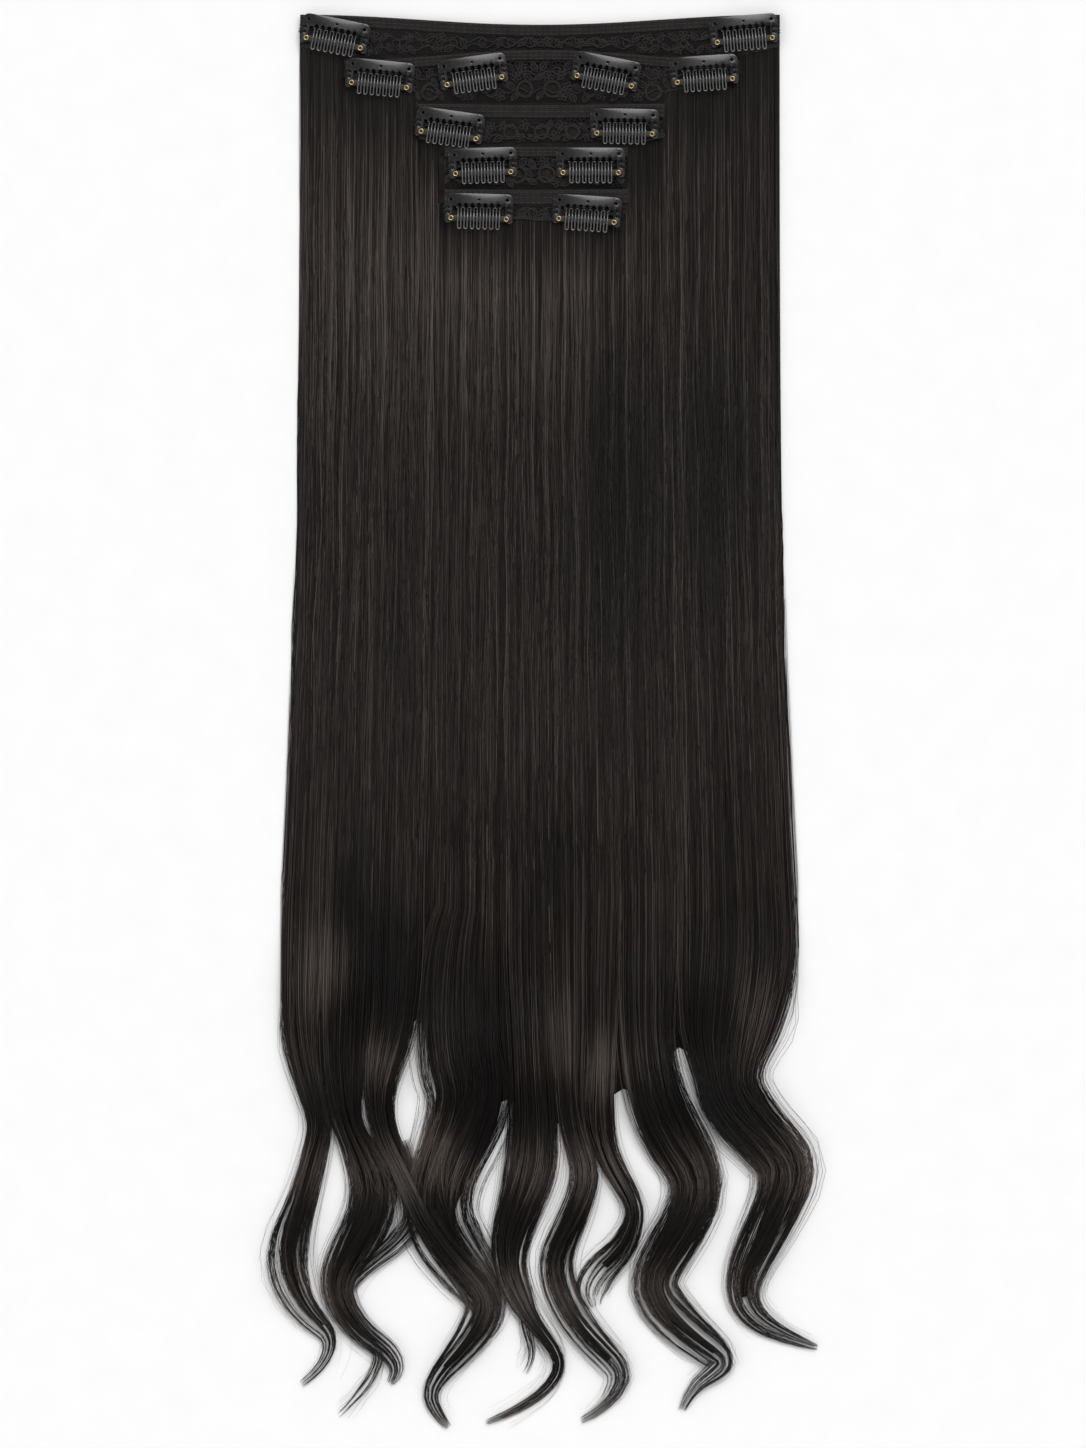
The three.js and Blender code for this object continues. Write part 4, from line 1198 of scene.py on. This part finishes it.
@dataclass
class Lace:
    """The lace backing: a knotted ground with leaves, flowers, openings and raised cords."""

    pitch: float = 1.95
    mesh_share: float = 0.62
    ground_from: float = 0.2
    ground_depth: float = 0.36
    cord_height: float = 0.82
    cord_radius: float = 0.37
    motif_step: float = 5.4
    seed: int = 23
    ground_finish: ClothFinish = ClothFinish(
        "lace_ground", (0.0012, 0.001, 0.001), (0.006, 0.0052, 0.005), 0.0005)
    cord_finish: ClothFinish = ClothFinish(
        "lace_cord", (0.004, 0.0036, 0.0036), (0.036, 0.0315, 0.030), 0.0009)

    @staticmethod
    def bottom(row: Row, x: np.ndarray) -> np.ndarray:
        """The Y of a panel's lower edge: it stops at the next band and hangs free beside it."""
        x = np.asarray(x, float)
        following = ROWS[row.index + 1] if row.index < len(ROWS) - 1 else None
        inner_left = following.left * S.half - 0.6 if following else 0.0
        inner_right = following.right * S.half + 0.6 if following else 0.0
        ends = np.where(x < 0, row.left, row.right)
        inner = np.where(x < 0, following.left, following.right) if following else np.zeros_like(x)
        share = (x / S.half - ends) / np.where(inner == ends, 1, inner - ends)
        free = S.top - S.top_margin - S.tier_span * mixed(row.lace_outer, row.lace_inner, share)
        free = free + S.free_raise * (1 - np.clip(share, 0, 1))
        if following is None:
            return free
        along = np.clip(x, following.left * S.half, following.right * S.half)
        beside = (x < inner_left) | (x > inner_right)
        return np.where(beside, free, following.band_top(along) + S.lace_clearance)

    def holes(self, row: Row) -> list[tuple[float, float, float]]:
        """The panel's round openings: centre and radius."""
        return [(x, y, o.radius) for o in OPENINGS if o.row == row.index for x, y in o.centres()]

    def leaves(self, row: Row) -> list[Leaf]:
        """The panel's leaves and flowers, along winding stems."""
        random = np.random.default_rng(self.seed + row.index)
        left, right = row.left * S.half + 2, row.right * S.half - 2
        found = []
        for i, x in enumerate(np.arange(left, right, self.motif_step)):
            high, low = float(row.band_bottom(x)) - 0.8, float(self.bottom(row, np.array(x))) + 0.8
            tiers = max(1, round((high - low) / 5.2))
            for tier in range(tiers):
                y = mixed(high, low, (tier + 0.5) / tiers) + random.uniform(-0.7, 0.7)
                across = x + random.uniform(-0.8, 0.8) + (tier % 2) * self.motif_step / 2
                if any(math.hypot(across - a, y - b) < r + 1.2 for a, b, r in self.holes(row)):
                    continue
                if any(self.under(place, across, y) for place in CLIPS):
                    continue
                if (i + tier) % 3 == 0:
                    spin = random.uniform(0, math.tau)
                    for petal in range(5):
                        turn = spin + petal * math.tau / 5
                        middle = across + 1.55 * math.cos(turn), y + 1.55 * math.sin(turn)
                        found.append(Leaf(*middle, turn, 2.5, 1.7))
                else:
                    way = 1 if (i + tier) % 2 else -1
                    turn = way * random.uniform(0.5, 1.2)
                    found.append(Leaf(across, y, turn, random.uniform(4.6, 6.2), random.uniform(2.1, 2.9)))
        return found

    @staticmethod
    def under(place: ClipPlace, x: float, y: float) -> bool:
        """Whether a place is hidden well under a clip."""
        across, up = place.local(x, y)
        return abs(across) < 13 and -5 < up < 6

    def ground(self, row: Row, leaves: list[Leaf]) -> tuple[Object, float]:
        """The knotted ground of one panel.

        Args:
            row: The row that it belongs to.
            leaves: Its leaves, whose ground is closed.

        Returns:
            The piece, and its flat area in square metres.
        """
        lift = self.pitch * math.sqrt(3) / 2
        y_from = float(row.band_top(0)) - S.tier_span * 0.42
        y_to = float(row.band_top(S.half * row.left)) + 4
        columns = np.arange(row.left * S.half, row.right * S.half, self.pitch)
        centres = []
        for i, y in enumerate(np.arange(y_from, y_to, lift)):
            centres += [(x + self.pitch / 2 * (i % 2), y) for x in columns]
        cx, cy = np.array(centres).T
        kept = (cy < row.band_bottom(cx) + S.under_band) & (cy > self.bottom(row, cx) + 0.5 * self.pitch)
        kept &= (cx > row.left * S.half + 0.8 + row.inset) & (cx < row.right * S.half - 0.8)
        for x, y, radius in self.holes(row):
            kept &= np.hypot(cx - x, cy - y) > radius
        filled = np.zeros_like(kept)
        for leaf in leaves:
            filled |= leaf.covers(cx, cy)
        corner = math.radians(30) + np.arange(6) * math.radians(60)
        ring = np.stack([np.cos(corner), np.sin(corner)], 1) * self.pitch / math.sqrt(3)
        points, index, sides, faces, area = [], {}, {}, [], 0.0

        def knot(place: tuple[float, float]) -> int:
            """The number of a shared corner of the ground."""
            key = (round(place[0] * 20), round(place[1] * 20))
            if key not in index:
                index[key] = len(points)
                points.append(place)
            return index[key]

        for x, y, solid in zip(cx[kept], cy[kept], filled[kept]):
            outer = [knot((x + a, y + b)) for a, b in ring]
            for a, b in zip(outer, outer[1:] + outer[:1]):
                sides[(a, b)] = (b, a) in sides or (a, b) in sides
                if sides[(a, b)]:
                    sides[(b, a)] = True
            area += self.pitch * lift * (1.0 if solid else 1 - self.mesh_share**2)
            if solid:
                faces.append(("flat", outer))
                continue
            start = len(points)
            points += [(x + a * self.mesh_share, y + b * self.mesh_share) for a, b in ring]
            inner = list(range(start, start + 6))
            for k in range(6):
                n = (k + 1) % 6
                faces.append(("flat", [outer[k], outer[n], inner[n], inner[k]]))
                faces.append(("wall", [inner[k], inner[n]]))
        faces += [("rim", list(pair)) for pair, shared in sides.items() if not shared]
        plan = np.array(points)
        drift = 0.33 * np.stack([np.sin(1.3 * plan[:, 1] + 0.5 * plan[:, 0]), np.sin(1.1 * plan[:, 0])], 1)
        plan = plan + drift
        count = len(plan)
        low = row.floor + S.lace_rise + self.ground_from
        wave = 0.1 * np.sin(0.7 * plan[:, 0] + 0.4 * plan[:, 1])
        lower = np.column_stack([plan, low + wave])
        upper = np.column_stack([plan, low + wave + self.ground_depth])
        made = []
        for kind, corners in faces:
            if kind == "flat":
                made.append(tuple(c + count for c in corners))
                made.append(tuple(corners[::-1]))
            elif kind == "wall":
                a, b = corners
                made.append((b, a, a + count, b + count))
            else:
                a, b = corners
                made.append((a, b, b + count, a + count))
        points = np.concatenate([lower, upper])
        piece = mesh_piece(f"lace_ground_{row.index + 1}", points, made, self.ground_finish.material())
        piece.data.polygons.foreach_set("use_smooth", np.zeros(len(piece.data.polygons), bool))
        return piece, area * MM * MM

    def border(self, row: Row) -> list[np.ndarray]:
        """Two cords that scallop along the panel's free lower edge, crossing each other."""
        lines = []
        following = ROWS[row.index + 1] if row.index < len(ROWS) - 1 else None
        spans = [(row.left, row.right)]
        if following:
            spans = [(row.left, following.left - 0.005), (following.right + 0.005, row.right)]
        for start, end in spans:
            x = np.arange(start * S.half + 0.6, end * S.half - 0.6, 0.62)
            if len(x) < 8:
                continue
            base = self.bottom(row, x) + 1.1
            for phase, reach in ((0, 0.5), (math.pi, 0.5), (math.pi / 2, 0.3)):
                scallop = -0.9 * np.abs(np.sin(x * math.pi / 9))
                y = base + scallop + reach * np.sin(x * 2.2 + phase) + (0.9 if reach < 0.5 else 0)
                lines.append(np.stack([x, y], 1))
        return lines

    def cords(self, row: Row, leaves: list[Leaf], tree: Tree, finish: Material) -> Object:
        """The raised cords of one panel."""
        random = np.random.default_rng(self.seed * 2 + row.index)
        flat = self.border(row)
        for leaf in leaves:
            flat += leaf.cords(6 if leaf.length > 4 else 4)
        for x, y, radius in self.holes(row):
            turn = np.linspace(0, math.tau, 15)
            for size in (radius + 0.15, radius + 0.75) if radius > 2 else (radius + 0.2,):
                wobble = size * (1 + 0.05 * np.sin(3 * turn + x))
                flat.append(np.stack([x + wobble * np.cos(turn), y + wobble * np.sin(turn)], 1))
        x = np.arange(row.left * S.half + 1, row.right * S.half - 1, 1.25)
        for share, phase in ((0.3, 0.0), (0.7, 1.9)):
            middle = mixed(row.band_bottom(x), self.bottom(row, x), share)
            flat.append(np.stack([x, middle + 1.1 * np.sin(x * 0.58 + phase)], 1))
        level = row.floor + S.lace_rise + self.cord_height
        lines, radii = [], []
        for line in flat:
            high, low = row.band_bottom(line[:, 0]) + 0.3, self.bottom(row, line[:, 0]) + 0.35
            y = np.clip(line[:, 1], np.minimum(low, high), high)
            x = np.clip(line[:, 0], row.left * S.half + 0.4 + row.inset, row.right * S.half - 0.4)
            height = level + 0.05 * np.sin(3 * x + y) - 0.08 * random.random()
            lines.append(framed(np.column_stack([x, y, height])))
            radii.append(np.full(len(line), self.cord_radius * random.uniform(0.75, 1.0)) * MM)
        seed = line_seed(f"lace_cords_{row.index + 1}", lines, {"thickness": radii})
        return tree.grown(f"lace_cords_{row.index + 1}", seed, {"Sides": 4, "Finish": finish})

    def build(self) -> None:
        """Makes each panel: its ground as a sheet, with its cords on it."""
        tree, finish = thread_tree(), self.cord_finish.material()
        for row in ROWS:
            leaves = self.leaves(row)
            ground, area = self.ground(row, leaves)
            worn(ground, nodes=(f"lace_panel_{row.index + 1}",))
            cords = worn(self.cords(row, leaves, tree, finish))


@dataclass
class Bands:
    """The woven bands that the rows are sewn to, each with its lines of stitches."""

    folds: int = 3
    fold_rise: float = 0.2
    rise_from: float = 0.06
    depth: float = 0.72
    step: float = 2.2
    stitch_pitch: float = 2.7
    stitch_length: float = 1.7
    stitch_radius: float = 0.2
    finish: ClothFinish = ClothFinish("woven_band", (0.0012, 0.001, 0.001), (0.022, 0.019, 0.018), 0.0011)
    thread_finish: ClothFinish = ClothFinish(
        "sewing_thread", (0.012, 0.0115, 0.0115), (0.05, 0.047, 0.046), 0.0003)

    def strip(self, row: Row) -> tuple[np.ndarray, list]:
        """One band's points and faces: a folded strip along its curve."""
        start = row.left * S.half + row.inset
        x = np.linspace(start, row.right * S.half, int((row.right - row.left) * S.half / self.step) + 2)
        v = np.linspace(0, 1, 15)
        round_off = np.sqrt(np.clip(1 - (2 * v - 1) ** 8, 0, 1))
        fold = self.fold_rise * np.abs(np.sin(math.pi * self.folds * v))
        tops = (self.depth * round_off + fold) * (round_off > 0)
        y = row.band_top(x)[:, None] - (v * row.band * S.band_height)[None, :]
        level = row.floor + S.lace_rise + self.rise_from
        pucker = 0.04 * np.sin(x * 2.1)[:, None] * round_off[None, :]
        upper = np.stack([np.repeat(x[:, None], 15, 1), y, level + 0.02 + tops[None, :] + pucker], 2)
        lower = upper[:, 1:-1][:, ::-1].copy()
        lower[..., 2] = level
        ring = np.concatenate([upper, lower], 1)
        count, sides = ring.shape[:2]
        return ring.reshape(-1, 3), tube_faces(count, sides)

    def build(self) -> None:
        """Makes the bands and sews their stitches."""
        cloth, thread, tree = self.finish.material(), self.thread_finish.material(), stitch_tree()
        for row in ROWS:
            points, faces = self.strip(row)
            band = mesh_piece(f"woven_band_{row.index + 1}", points, faces, cloth)
            worn(band, nodes=(f"weft_band_{row.index + 1}",))
            x = np.arange(row.left * S.half + 1 + row.inset, row.right * S.half - 1, 1.2)
            level = row.floor + S.lace_rise + self.rise_from + self.depth + 0.08
            lines = []
            for share in (0.17, 0.5, 0.83):
                y = row.band_top(x) - share * row.band * S.band_height
                lines.append(framed(np.column_stack([x, y, np.full_like(x, level + 0.04)])))
            seed = line_seed("stitches", lines, {})
            values = {"Pitch": self.stitch_pitch * MM, "Length": self.stitch_length * MM,
                      "Thickness": self.stitch_radius * MM, "Finish": thread}
            worn(tree.grown(f"band_stitches_{row.index + 1}", seed, values))


@dataclass
class SnapClips:
    """The snap comb clips: bowed plate, crossbar, wire comb, brass eyelets and sewing thread."""

    width: float = 32.0
    height: float = 14.0
    corner: float = 2.8
    arch: float = 5.6
    leg: float = 3.7
    plate: float = 0.62
    bow: float = 1.5
    bar_height: float = 3.0
    bar_drop: float = 11.6
    teeth: int = 7
    pitch: float = 3.0
    tooth: float = 1.5
    wire: float = 0.36
    reach: float = 2.6
    hinge_y: float = 0.6
    hinge_z: float = 0.45
    corner_hole: float = 0.8
    leg_hole: float = 0.72
    leg_holes: tuple[float, float] = (0.6, 3.0)
    ring: float = 0.98
    roll: float = 0.27
    thread: float = 0.24
    enamel: MetalFinish = MetalFinish(
        "clip_enamel", (0.003, 0.003, 0.0032), (0.009, 0.009, 0.0095), 0.0, 0.27, 0.3)
    wire_finish: MetalFinish = MetalFinish(
        "comb_wire", (0.10, 0.10, 0.102), (0.2, 0.2, 0.205), 0.8, 0.24, 0.4)
    bar_enamel: MetalFinish = MetalFinish(
        "bar_enamel", (0.002, 0.002, 0.0022), (0.006, 0.006, 0.0063), 0.0, 0.5)
    brass: MetalFinish = MetalFinish("eyelet_brass", (0.62, 0.43, 0.17), (0.45, 0.3, 0.12), 1.0, 0.26)

    def arc(self, x: float, y: float, radius: float, start: float, end: float, steps: int) -> list:
        """Points of an arc, by degrees."""
        turns = np.radians(np.linspace(start, end, steps))
        return [(x + radius * math.cos(t), y + radius * math.sin(t)) for t in turns]

    def outline(self) -> list[tuple[float, float]]:
        """The plate's outline: the arch, its two legs and the notches that the teeth come out of."""
        side, top, foot = self.width / 2, self.height / 2, 1.75
        window, lip = side - self.leg, top - self.arch
        points = self.arc(side - self.corner, top - self.corner, self.corner, 0, 90, 7)
        points += self.arc(-side + self.corner, top - self.corner, self.corner, 90, 180, 7)
        points += self.arc(-side + foot, -top + foot, foot, 180, 270, 5)
        points += self.arc(-window - foot + 0.6, -top + foot, foot - 0.6, 270, 360, 4)
        points += self.arc(-window + 0.5, lip - 0.5, 0.5, 180, 90, 3)
        for i in range(self.teeth):
            x = (i - (self.teeth - 1) / 2) * self.pitch
            notch = self.tooth / 2 + 0.32
            bend = self.arc(x, lip + 0.35, notch - 0.15, 170, 10, 6)
            points += [(x - notch, lip), *bend, (x + notch, lip)]
        points += self.arc(window - 0.5, lip - 0.5, 0.5, 90, 0, 3)
        points += self.arc(window + foot - 0.6, -top + foot, foot - 0.6, 180, 270, 4)
        points += self.arc(side - foot, -top + foot, foot, 270, 360, 5)
        return points

    def plate_mesh(self) -> Mesh:
        """The pierced plate, bowed up in the middle, with rolled edges."""
        shell = bmesh.new()
        side, lip, leg = self.width / 2, self.height / 2 - self.arch, self.width / 2 - self.leg / 2
        loops = [self.outline(), self.arc(0, 4.2, 0.55, 0, 330, 12)]
        for mirror in (-1, 1):
            corner = mirror * (side - self.corner), self.height / 2 - self.corner
            loops.append(self.arc(*corner, self.corner_hole, 0, 330, 12))
            for drop in self.leg_holes:
                loops.append(self.arc(mirror * leg, lip - drop, self.leg_hole, 0, 330, 12))
        edges = []
        for loop in loops:
            corners = [shell.verts.new((x, y, 0)) for x, y in loop]
            edges += [shell.edges.new(pair) for pair in zip(corners, corners[1:] + corners[:1])]
        bmesh.ops.triangle_fill(shell, edges=edges, use_beauty=True, normal=(0, 0, 1))
        for x in np.arange(-15, 15.1, 1.25):
            geometry = shell.verts[:] + shell.edges[:] + shell.faces[:]
            bmesh.ops.bisect_plane(shell, geom=geometry, dist=0.01, plane_co=(x, 0, 0), plane_no=(1, 0, 0))
        for y in (2.6, 3.8, 5.0, 6.1):
            geometry = shell.verts[:] + shell.edges[:] + shell.faces[:]
            bmesh.ops.bisect_plane(shell, geom=geometry, dist=0.01, plane_co=(0, y, 0), plane_no=(0, 1, 0))
        for vert in shell.verts:
            x, y = vert.co.x / (self.width / 2), vert.co.y
            arched = float(smooth(np.array(y), -1.0, 2.5))
            vert.co.z = self.bow * (1 - x * x) * arched - 0.02 * max(y - 3.2, 0) ** 2 * (1 - x * x)
        bmesh.ops.recalc_face_normals(shell, faces=shell.faces)
        if sum(face.normal.z for face in shell.faces) < 0:
            bmesh.ops.reverse_faces(shell, faces=shell.faces)
        mesh = bpy.data.meshes.new("clip_plate")
        shell.to_mesh(mesh)
        shell.free()
        holder = linked("clip_plate", mesh)
        thick = holder.modifiers.new("wall", "SOLIDIFY")
        thick.thickness, thick.offset = self.plate, 1
        rolled = holder.modifiers.new("rolled", "BEVEL")
        rolled.width, rolled.segments = 0.17, 2
        rolled.limit_method, rolled.angle_limit = "ANGLE", math.radians(50)
        graph = bpy.context.evaluated_depsgraph_get()
        made = bpy.data.meshes.new_from_object(holder.evaluated_get(graph), depsgraph=graph)
        bpy.data.objects.remove(holder)
        made.polygons.foreach_set("use_smooth", np.ones(len(made.polygons), bool))
        made.set_sharp_from_angle(angle=math.radians(40))
        return made

    def bar_mesh(self) -> Mesh:
        """The crossbar: a flat strip with round ends and a softly crowned face."""
        reach, y = self.width / 2 - self.leg / 2 - 0.3, self.height / 2 - self.bar_drop
        levels = ((1.1, 0.16), (1.18, 0.02), (1.45, 0.0), (1.6, 0.14), (1.67, 0.45), (1.7, 0.95))
        rings = []
        for z, inset in levels:
            radius = self.bar_height / 2 - inset
            ring = self.arc(reach, y, radius, -90, 90, 9) + self.arc(-reach, y, radius, 90, 270, 9)
            rings.append([(x, v, z) for x, v in ring])
        faces = tube_faces(len(rings), len(rings[0]))
        mesh = bpy.data.meshes.new("clip_bar")
        mesh.from_pydata([point for ring in rings for point in ring], [], faces)
        mesh.polygons.foreach_set("use_smooth", np.ones(len(mesh.polygons), bool))
        mesh.set_sharp_from_angle(angle=math.radians(50))
        return mesh

    def tooth_line(self) -> np.ndarray:
        """One tooth's wire, from the root beside it, over the bar, round its tip and back."""
        y, z, half = self.hinge_y, self.hinge_z, self.tooth / 2
        tip = -self.height / 2 - self.reach + half
        rise = [(y, z), (y - 0.5, z + 0.25), (-1.0, 1.3), (-2.1, 2.15), (-3.0, 2.52)]
        rise += [(-5, 2.56), (tip, 2.42)]
        down = [(-half, a, b) for a, b in rise]
        bend = [(half * math.sin(t), tip - half * math.cos(t), 2.42) for t in np.radians([-50, -18, 18, 50])]
        root = [(-self.pitch / 2, y, z), (-half - 0.12, y, z)]
        back = [(-a, b, c) for a, b, c in (root + down)[::-1]]
        shifted = np.array(root + down + bend + back)
        shifted[:, 0] -= (self.teeth - 1) / 2 * self.pitch
        return shifted

    def placed(self, name: str, mesh: Mesh, place: ClipPlace, finish: Material) -> Object:
        """A copy of a clip's mesh, set in its place.

        Args:
            name: The piece's name.
            mesh: The mesh, in the clip's own millimetres.
            place: Where the clip is.
            finish: Its material.

        Returns:
            The piece.
        """
        copy = mesh.copy()
        copy.name = name
        copy.transform(place.matrix())
        copy.materials.clear()
        copy.materials.append(finish)
        return linked(name, copy)

    def thread_lines(self, place: ClipPlace, random: np.random.Generator) -> list[np.ndarray]:
        """The thread that sews a clip down: loops out of its leg holes, over its edge, into the cloth."""
        leg, lip, side = self.width / 2 - self.leg / 2, self.height / 2 - self.arch, self.width / 2
        matrix, lines = np.array(place.matrix()), []
        for mirror in (-1, 1):
            for y in (lip - drop for drop in self.leg_holes):
                for turn in range(3):
                    lean, spread = random.uniform(-0.5, 0.5), (turn - 1) * 0.42 + random.uniform(-0.1, 0.1)
                    run = [(leg - 0.1, y + spread * 0.3, 0.2),
                           (leg + 0.25, y + spread * 0.6, 0.86),
                           (side - 0.7, y + spread, 0.95),
                           (side + 0.15, y + spread + lean * 0.5, 0.72),
                           (side + 0.75, y + spread * 1.3 + lean, 0.15),
                           (side + 0.95, y + spread * 1.4 + lean, -0.35)]
                    points = np.array([(mirror * a, b, c, 1) for a, b, c in run])
                    lines.append((points @ matrix.T)[:, :3])
        return lines

    def build(self) -> None:
        """Makes the twelve clips, piece by piece."""
        finishes = (self.enamel, self.bar_enamel, self.wire_finish, self.brass)
        enamel, dull, wire, brass = (finish.material() for finish in finishes)
        plate, bar, teeth = self.plate_mesh(), self.bar_mesh(), tooth_tree()
        seed = line_seed("tooth", [self.tooth_line()], {})
        values = {"Teeth": self.teeth, "Pitch": self.pitch, "Wire": self.wire, "Finish": wire}
        pattern = teeth.grown("comb_pattern", seed, values)
        comb = pattern.data
        bpy.data.objects.remove(pattern)
        random = np.random.default_rng(5)
        threads, eyes = [], []
        rivet_x, rivet_y = self.width / 2 - self.leg / 2 - 1.2, self.height / 2 - self.bar_drop
        for number, place in enumerate(CLIPS, 1):
            for name, mesh, finish, body, node in (
                    ("clip_plate", plate, enamel, BODY, "clip_frame"),
                    ("clip_crossbar", bar, dull, BODY, "clip_bar"),
                    ("wire_comb", comb, wire, f"comb_{number}", "clip_comb")):
                piece = self.placed(f"{name}_{number}", mesh, place, finish)
                worn(piece, body, (f"{node}_{number}",))
            threads += self.thread_lines(place, random)
            eyes += [place.matrix() @ Vector((mirror * rivet_x, rivet_y, 1.82)) for mirror in (-1, 1)]
        points = bpy.data.meshes.new("eyelet_places")
        points.from_pydata([tuple(eye) for eye in eyes], [], [])
        seed = linked("eyelet_places", points)
        values = {"Ring": self.ring * MM, "Roll": self.roll * MM, "Finish": brass}
        worn(eyelet_tree().grown("brass_eyelets", seed, values))
        radii = [np.full(len(line), self.thread * MM) for line in threads]
        seed = line_seed("threads", threads, {"thickness": radii})
        thread = ClothFinish("clip_thread", (0.002, 0.002, 0.002), (0.011, 0.0105, 0.0105), 0.0003).material()
        worn(thread_tree().grown("sewing_threads", seed, {"Sides": 5, "Finish": thread}))


@dataclass
class Studio:
    """The camera straight above, the pale floor and the soft light."""

    distance: float = 3.0
    view_height: float = 0.6806
    centre: tuple[float, float] = (-0.0021, -0.0008)
    mean_height: float = 0.006

    def camera(self) -> None:
        """Sets the camera at the photograph's angle."""
        data = bpy.data.cameras.new("camera")
        data.sensor_width = 36.0
        data.lens = data.sensor_width * (self.distance - self.mean_height) / self.view_height
        camera = linked("camera", data)
        camera.location = (*self.centre, self.distance)
        bpy.context.scene.camera = camera

    def floor(self) -> None:
        """Lays a plain pale floor."""
        paint = Paint("studio_floor")
        grain = paint.noise(paint.coordinate(), 60)
        paint.set(Base_Color=paint.ramp(grain, ((0.3, (0.9, 0.9, 0.9)), (0.7, (0.915, 0.915, 0.915)))))
        paint.set(Roughness=0.9, Specular_IOR_Level=0.1)
        mesh = bpy.data.meshes.new("studio_floor")
        reach = 6.0
        corners = [(-reach, -reach, 0), (reach, -reach, 0), (reach, reach, 0), (-reach, reach, 0)]
        mesh.from_pydata(corners, [], [(0, 1, 2, 3)])
        mesh.materials.append(paint.material)
        linked("studio_floor", mesh)

    @staticmethod
    def sun(name: str, strength: float, spread: float, lean: float, turn: float) -> None:
        """A soft light from far off.

        Args:
            name: Its name.
            strength: Its strength.
            spread: The angle that it fills in the sky, in degrees.
            lean: How far it leans from straight above, in degrees.
            turn: The side that it leans to, in degrees from +Y clockwise.
        """
        data = bpy.data.lights.new(name, "SUN")
        data.energy, data.angle = strength, math.radians(spread)
        lamp = linked(name, data)
        lean, turn = math.radians(lean), math.radians(turn)
        back = Vector((math.sin(lean) * math.sin(turn), math.sin(lean) * math.cos(turn), math.cos(lean)))
        lamp.rotation_euler = back.to_track_quat("Z", "Y").to_euler()
        lamp.location = back * 2

    def light(self) -> None:
        """Sets two soft lights and a pale room."""
        self.sun("key_light", strength=1.9, spread=40, lean=34, turn=20)
        self.sun("side_light", strength=0.55, spread=60, lean=50, turn=-110)
        world = bpy.data.worlds.new("studio")
        world.use_nodes = True
        nodes, links = world.node_tree.nodes, world.node_tree.links
        way, parts = nodes.new("ShaderNodeTexCoord"), nodes.new("ShaderNodeSeparateXYZ")
        sky = nodes.new("ShaderNodeValToRGB")
        stops = ((0.0, 0.66), (0.74, 0.62), (0.87, 0.1), (0.972, 0.05), (0.994, 1.1))
        while len(sky.color_ramp.elements) < len(stops):
            sky.color_ramp.elements.new(0.5)
        for element, (at, level) in zip(sky.color_ramp.elements, stops):
            element.position, element.color = at, (level, level, level, 1)
        links.new(way.outputs["Generated"], parts.inputs["Vector"])
        links.new(parts.outputs["Z"], sky.inputs["Fac"])
        links.new(sky.outputs["Color"], nodes["Background"].inputs["Color"])
        nodes["Background"].inputs["Strength"].default_value = 1.0
        bpy.context.scene.world = world
        bpy.context.scene.view_settings.view_transform = "Standard"

    def build(self) -> None:
        """Sets up camera, floor and light."""
        self.camera()
        self.floor()
        self.light()


def main() -> None:
    """Builds the studio and then the part, sub-assembly by sub-assembly."""
    logging.basicConfig(level=logging.INFO, format="%(name)s: %(message)s")
    for part in (Studio(), Hair(), Bands(), Lace(), SnapClips()):
        part.build()


if __name__ == "__main__":
    main()
